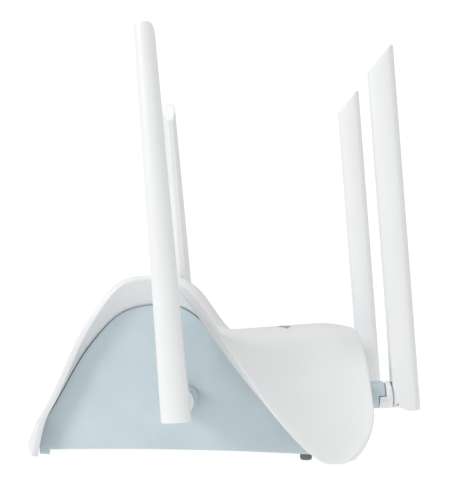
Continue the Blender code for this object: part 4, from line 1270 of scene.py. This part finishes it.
    # Boss -------------------------------------------------------------------------------
    def build_boss(self, panel: float) -> bpy.types.Object:
        """The bored boss with its flange behind the panel and its turn stop.

        Args:
            panel: where the panel's outer face lies, in the boss's frame.

        Returns:
            The finished piece.
        """
        blue = PANEL_BLUE.material()
        end = self.seam - self.gap / 2
        web = self.seam - self.spigot_length - self.gap
        back = panel - self.panel_wall - 2 * self.gap
        bore = self.spigot + self.gap
        shoulder, neck, flange, hole, plate = panel + 0.1, 5.7, 6.9, 3.0, 1.6
        corners = [(bore, end, 0), (self.radius, end, self.cut), (self.radius, shoulder, 0.3),
                   (neck, shoulder, 0), (neck, back, 0), (flange, back, 0.2),
                   (flange, back - plate, 0.3), (bore, back - plate, 0.2), (bore, web - plate, 0),
                   (hole, web - plate, 0.1), (hole, web, 0.1), (bore, web, 0), (bore, end, 0)]
        profile = rounded_path(corners, 5)[:-1]
        rings = turned_rings(profile, "X", (0, 0, 0), 64)
        boss = Skin().loop(placed(rings, self.place.fixed)).build(f"boss_body_{self.label}", blue, 40.0)
        low, high = self.lip_angles()[0]
        free = self.sector(high, low + 360, 3.6, 9.0, end - self.lip, end + 2.0, self.place.fixed, 0.05)
        combine(boss, free, Step.CUT, 40.0)
        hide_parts(f"boss_{self.label}")
        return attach(boss, UNIT)

    def build(self, panels: Panels) -> None:
        """Makes every piece of the antenna.

        Args:
            panels: the panels that the boss goes through.
        """
        centre, out = self.place.fixed.translation / MM, self.place.fixed.col[0].to_3d()
        if self.on_side:
            reach, y = 0.0, float(centre.y)
            for _ in range(20):
                y = float(centre.y) + reach * out.y
                reach = (float(panels.side_x(np.array(y))) - abs(centre.x)) / abs(out.x)
        else:
            reach = panels.rear_y - float(centre.y)
        self.build_blade()
        self.build_pin()
        self.build_knuckle()
        self.build_boss(reach)
        dress(f"radiator_{self.label}", COPPER.material())
        dress(f"coax_{self.label}", BLACK.material())


# ---------------------------------------------------------------------------------------
# Sockets and buttons
# ---------------------------------------------------------------------------------------
@dataclass
class Sockets:
    """Three network jacks, the power inlet and two buttons in the rear panel."""

    front: float = 62.2
    floor: float = 14.9
    jack: tuple[float, float, float] = (15.6, 21.0, 13.2)
    inlet: tuple[float, float, float] = (9.0, 14.0, 11.0)
    gap: float = 0.3

    def centre(self, node: str) -> Vector:
        """Middle of a CAD node's box, in millimetres."""
        low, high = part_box(node)
        return (low + high) / 2 / MM

    def tools(self, rear_y: float) -> list[bpy.types.Object]:
        """Solids that open the rear panel for every socket and button.

        Args:
            rear_y: outer face of the panel.

        Returns:
            The cutting solids.
        """
        blue = PANEL_BLUE.material()
        tools = []
        openings = [(f"network_jack_{k}", self.jack) for k in (1, 2, 3)]
        openings.append(("power_inlet", self.inlet))
        for node, size in openings:
            x = self.centre(node).x
            low = (x - size[0] / 2 - self.gap, rear_y - 8, self.floor - self.gap)
            high = (x + size[0] / 2 + self.gap, rear_y + 5, self.floor + size[2] + self.gap)
            tools.append(Skin().rings(box_rings(low, high, 0.05, "Y", 0.5)).build("tool", blue))
        for node, radius in (("power_button", 3.4), ("pair_button", 2.0)):
            middle = self.centre(node)
            at = (middle.x, 0.0, middle.z)
            tools.append(rod("tool", radius + self.gap, rear_y - 8, rear_y + 5, blue, "Y", at))
        return tools

    def build_jack(self, number: int) -> None:
        """A shielded jack: folded tin frame, moulded liner, eight contacts and two lamps.

        Args:
            number: which jack, from 1.
        """
        node = f"network_jack_{number}"
        x = self.centre(node).x
        width, depth, height = self.jack
        low = (x - width / 2, self.front - depth, self.floor)
        high = (x + width / 2, self.front, self.floor + height)
        tin = TIN.material()
        case = Skin().rings(box_rings(low, high, 0.35, "Y")).build(f"jack_case_{number}", tin)
        opening = box_rings((x - 6.9, self.front - 14.5, self.floor + 1.3),
                            (x + 6.9, self.front + 3, self.floor + height - 1.0), 0.2, "Y", 0.5)
        combine(case, Skin().rings(opening).build("tool", tin), Step.CUT)
        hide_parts(node)
        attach(case, UNIT)
        grey = PORT_GREY.material()
        liner = box_rings((x - 6.8, self.front - 14.4, self.floor + 1.4),
                          (x + 6.8, self.front - 0.4, self.floor + height - 1.1), 0.3, "Y", 0.4)
        liner = Skin().rings(liner).build(f"jack_liner_{number}", grey)
        for half, bottom, top in ((5.9, 2.6, 9.6), (3.0, 9.0, 10.8), (1.6, 10.0, 11.6)):
            tool = box_rings((x - half, self.front - 13.0, self.floor + bottom),
                             (x + half, self.front + 3, self.floor + top), 0.1, "Y", 0.15)
            combine(liner, Skin().rings(tool).build("tool", grey), Step.CUT)
        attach(liner, UNIT)
        self.build_contacts(number, x)
        for side in (-1, 1):
            a, b = x + side * 6.3, x + side * 4.2
            lamp = box_rings((min(a, b), self.front - 2.0, self.floor + 9.9),
                             (max(a, b), self.front - 0.25, self.floor + 11.5), 0.2, "Y", 0.3)
            name = f"jack_lamp_{number}_{'a' if side < 0 else 'b'}"
            lamp = Skin().rings(lamp).build(name, LAMP.material())
            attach(lamp, UNIT)

    def build_contacts(self, number: int, x: float) -> None:
        """Eight sprung wires: a small rectangle carried down a sloping line with a bent end."""
        bends = [(-3.2, 2.9, 0), (-4.6, 3.0, 0.6), (-10.8, 6.2, 0.6), (-12.8, 6.4, 0)]
        line = rounded_path([(self.front + y, self.floor + z, r) for y, z, r in bends], 4)
        ahead = np.gradient(line, axis=0)
        ahead /= np.linalg.norm(ahead, axis=1, keepdims=True)
        up = np.stack([-ahead[:, 1], ahead[:, 0]], axis=1)
        skin = Skin()
        for k in range(8):
            wire_x = x + (k - 3.5) * 1.02
            rings = []
            for across, lift in ((-0.17, -0.14), (0.17, -0.14), (0.17, 0.14), (-0.17, 0.14)):
                place = line + up * lift
                rings.append(np.column_stack([np.full(len(line), wire_x + across), place]))
            skin.rings(np.stack(rings, axis=1))
        contacts = skin.build(f"jack_contacts_{number}", GOLD.material())
        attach(contacts, UNIT)

    def build_inlet(self) -> None:
        """The round power inlet: moulded block with a lipped barrel and a centre contact."""
        x = self.centre("power_inlet").x
        width, depth, height = self.inlet
        middle = (x, 0.0, self.floor + height / 2)
        black = BLACK.material()
        low = (x - width / 2, self.front - depth, self.floor)
        high = (x + width / 2, self.front, self.floor + height)
        block = Skin().rings(box_rings(low, high, 0.4, "Y", 0.8)).build("inlet_block", black)
        barrel = [(3.1, -10.0), (3.1, -0.6), (3.7, 0.2), (3.7, 2.0)]
        profile = np.array([(radius, self.front + y) for radius, y in barrel])
        combine(block, Skin().rings(turned_rings(profile, "Y", middle, 48)).build("tool", black), Step.CUT)
        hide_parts("power_inlet")
        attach(block, UNIT)
        contact = [(0.0, -10.5, 0), (0.9, -10.5, 0.1), (0.9, -1.0, 0.4), (0.0, -1.0, 0)]
        profile = rounded_path([(radius, self.front + y, r) for radius, y, r in contact])
        rings = turned_rings(profile, "Y", middle, 24)
        pin = Skin().grid(rings, wrap=True).build("inlet_pin", GOLD.material())
        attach(pin, UNIT)

    def build_button(self, node: str, body: str, radius: float, travel: float) -> None:
        """A push button with a dished face and a flange behind the panel.

        Args:
            node: the CAD node that it stands for.
            body: the body that it rides on.
            radius: radius of the button.
            travel: how far it stands out of the panel.
        """
        middle = self.centre(node)
        wall, face = 2.2, 62.0
        tail = face - wall
        stem, flange, dish, front = radius * 0.6, radius + 1.1, radius * 0.62, face + travel
        corners = [(0.0, tail - 6.0, 0), (stem, tail - 6.0, 0.2), (stem, tail - 1.8, 0.1),
                   (flange, tail - 1.8, 0.2), (flange, tail - 0.3, 0.2), (radius, tail - 0.3, 0.1),
                   (radius, front + 0.25, 0.55), (dish, front + 0.05, 0.5), (0.0, front - 0.15, 0)]
        rings = turned_rings(rounded_path(corners), "Y", (middle.x, 0, middle.z), 48)
        button = Skin().grid(rings, wrap=True).build(f"{node}_cap", ANTENNA_WHITE.material())
        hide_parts(node)
        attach(button, body)

    def build(self) -> None:
        """Makes every socket and button."""
        for number in (1, 2, 3):
            self.build_jack(number)
        self.build_inlet()
        self.build_button("power_button", "power_key", 3.4, 2.0)
        self.build_button("pair_button", "pair_key", 2.0, 1.0)


# ---------------------------------------------------------------------------------------
# Underside and inside
# ---------------------------------------------------------------------------------------
def dress(node: str, finish: bpy.types.Material) -> None:
    """Gives a CAD node a better material in every slot."""
    mesh = frame["nodes"][node].data
    if not mesh.materials:
        mesh.materials.append(finish)
    for k in range(len(mesh.materials)):
        mesh.materials[k] = finish


@dataclass
class Underside:
    """Rubber feet and closing screws."""

    def build_foot(self, node: str) -> None:
        """A rubber foot with a rounded rim and a shallow dish underneath.

        Args:
            node: the CAD node that it stands for.
        """
        low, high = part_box(node)
        centre = (low + high) / 2 / MM
        radius, top = (high.x - low.x) / 2 / MM, high.z / MM
        corners = [(0.0, 0.35, 0), (radius * 0.45, 0.35, 0.3), (radius * 0.62, 0.0, 0.3), (radius, 0.0, 0.9),
                   (radius, top, 0.3), (0.0, top, 0)]
        rings = turned_rings(rounded_path(corners), "Z", (centre.x, centre.y, 0), 48)
        foot = Skin().grid(rings, wrap=True).build(f"{node}_rubber", FOOT_RUBBER.material())
        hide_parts(node)
        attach(foot, UNIT)

    def build_screw(self, node: str) -> None:
        """A pan head screw with a cross recess and a threaded shank.

        The shank's radius follows r + d sin(2 pi h / pitch - a), which draws the thread.

        Args:
            node: the CAD node that it stands for.
        """
        low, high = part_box(node)
        x, y = (low.x + high.x) / 2 / MM, (low.y + high.y) / 2 / MM
        bottom, top = low.z / MM, high.z / MM
        case = node.startswith("case")
        head_radius = (high.x - low.x) / 2 / MM
        head = 1.8 if case else 1.9
        sign = 1.0 if case else -1.0
        start = bottom if case else top
        corners = [(0.0, 0.0, 0), (head_radius, 0.0, 0.7), (head_radius, head, 0.1), (1.0, head, 0)]
        profile = rounded_path(corners)
        rings = turned_rings(profile, "Z", (0, 0, 0), 48)
        a = np.linspace(0, 2 * math.pi, 48, endpoint=False)
        h = np.arange(head, top - bottom - 0.2, 0.11)[:, None]
        r = 1.08 + 0.12 * np.sin(2 * math.pi * h / 0.8 - a[None])
        thread = np.stack([r * np.cos(a), r * np.sin(a), np.broadcast_to(h, r.shape)], axis=-1)
        rings = np.concatenate([rings, thread])
        tip = np.broadcast_to(np.array([0.0, 0.0, top - bottom]), rings[:1].shape)
        rings = np.concatenate([rings, tip]) * (1, 1, sign) + (x, y, start)
        screw = Skin().grid(rings, wrap=True).build(f"{node}_pan", STEEL.material())
        for turn in (0, 1):
            half = (1.5, 0.32) if turn else (0.32, 1.5)
            depth = sorted((start - sign * 0.5, start + sign * 0.8))
            low = (x - half[0], y - half[1], depth[0])
            high = (x + half[0], y + half[1], depth[1])
            combine(screw, box_tool(low, high, STEEL.material()), Step.CUT)
        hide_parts(node)
        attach(screw, UNIT)

    def build(self) -> None:
        """Makes every foot and screw and dresses the tray."""
        for place in ("front_left", "front_right", "rear_left", "rear_right"):
            self.build_foot(f"foot_{place}")
        for k in (1, 2, 3, 4):
            self.build_screw(f"case_screw_{k}")
        for k in (1, 2):
            self.build_screw(f"board_screw_{k}")
        dress("base_tray", TRAY_BLUE.material())


def dress_electronics() -> None:
    """Materials of the parts inside, which show only through the slots."""
    finishes = {
        "circuit_board": BOARD, "shield_can": TIN, "main_chip": BLACK, "thermal_pad": PAD_SOFT,
        "heat_sink": ALUMINIUM, "line_transformer_1": BLACK, "line_transformer_2": BLACK,
        "capacitor_1": CAP_SLEEVE, "capacitor_2": CAP_SLEEVE, "power_switch": BLACK,
        "pair_switch": BLACK, "light_pipe": CLEAR}
    for node, finish in finishes.items():
        dress(node, finish.material())


# ---------------------------------------------------------------------------------------
# Studio
# ---------------------------------------------------------------------------------------
@dataclass
class Studio:
    """Pale floor, white surround, soft lights and the camera."""

    camera_x: float = 0.5743
    camera_z: float = 0.086
    lens: float = 75.3
    shift_x: float = 0.037
    shift_y: float = 0.054

    def build_camera(self) -> None:
        """A level camera on the unit's left side, looking along -X."""
        data = bpy.data.cameras.new("camera")
        data.lens = self.lens
        data.sensor_width = 36.0
        data.shift_x = self.shift_x
        data.shift_y = self.shift_y
        data.clip_start = 0.01
        camera = bpy.data.objects.new("camera", data)
        camera.location = (self.camera_x, 0.0, self.camera_z)
        camera.rotation_euler = (math.radians(90), 0.0, math.radians(90))
        bpy.context.scene.collection.objects.link(camera)
        bpy.context.scene.camera = camera

    def build_floor(self) -> None:
        """A wide pale floor that is almost as bright as the surround."""
        made = bpy.data.materials.new("studio_floor")
        made.use_nodes = True
        shader = made.node_tree.nodes["Principled BSDF"]
        shader.inputs["Base Color"].default_value = (0.12, 0.12, 0.12, 1.0)
        shader.inputs["Roughness"].default_value = 0.9
        shader.inputs["Emission Color"].default_value = (1.0, 1.0, 1.0, 1.0)
        shader.inputs["Emission Strength"].default_value = 0.92
        corner = np.array([[-6000.0, -6000.0], [6000.0, -6000.0]])
        grid = np.stack([np.column_stack([corner + (0, shift), [0.0, 0.0]]) for shift in (0.0, 12000.0)])
        floor = Skin().grid(grid - (0, 0, 0.05)).build("studio_floor", made)
        floor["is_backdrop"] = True

    def build_world(self) -> None:
        """White surround that the camera sees at full strength and the unit is lit by at less."""
        world = bpy.data.worlds.new("studio_world")
        bpy.context.scene.world = world
        world.use_nodes = True
        nodes, links = world.node_tree.nodes, world.node_tree.links
        background = nodes["Background"]
        background.inputs["Color"].default_value = (1.0, 1.0, 1.0, 1.0)
        path = nodes.new("ShaderNodeLightPath")
        span = nodes.new("ShaderNodeMapRange")
        span.inputs["To Min"].default_value = 0.52
        span.inputs["To Max"].default_value = 1.05
        links.new(path.outputs["Is Camera Ray"], span.inputs["Value"])
        links.new(span.outputs["Result"], background.inputs["Strength"])

    def build_light(self, name: str, place: Sequence[float], size: float, power: float) -> None:
        """A soft square light aimed at the middle of the unit."""
        data = bpy.data.lights.new(name, "AREA")
        data.shape = "SQUARE"
        data.size = size
        data.energy = power
        light = bpy.data.objects.new(name, data)
        light.location = place
        aim = Vector((0.0, 0.0, 0.07)) - Vector(place)
        light.rotation_euler = aim.to_track_quat("-Z", "Y").to_euler()
        bpy.context.scene.collection.objects.link(light)

    def build(self) -> None:
        """Sets the whole studio."""
        bpy.context.scene.view_settings.view_transform = "Standard"
        self.build_camera()
        self.build_floor()
        self.build_world()
        self.build_light("key", (1.0, -1.5, 0.75), 0.7, 11.5)
        self.build_light("top", (0.1, 0.0, 1.8), 1.2, 12.5)
        self.build_light("fill", (1.5, 0.9, 0.5), 1.0, 0.8)


def main() -> None:
    """Builds every sub-assembly in order."""
    logging.basicConfig(level=logging.INFO)
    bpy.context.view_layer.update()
    Studio().build()
    shell = Shell()
    window = StatusWindow(shell)
    sockets = Sockets()
    panels = Panels(shell)
    shell.build(window)
    window.build()
    for side in (1, -1):
        panels.build_side(side)
    panels.build_rear(sockets)
    sockets.build()
    for label in ("left_side", "right_side", "left_rear", "right_rear"):
        Antenna(label).build(panels)
    Underside().build()
    dress_electronics()
    bpy.context.view_layer.update()
    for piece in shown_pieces():
        log.info("%s: %d faces", piece.name, len(piece.data.polygons))


if __name__ == "__main__":
    main()
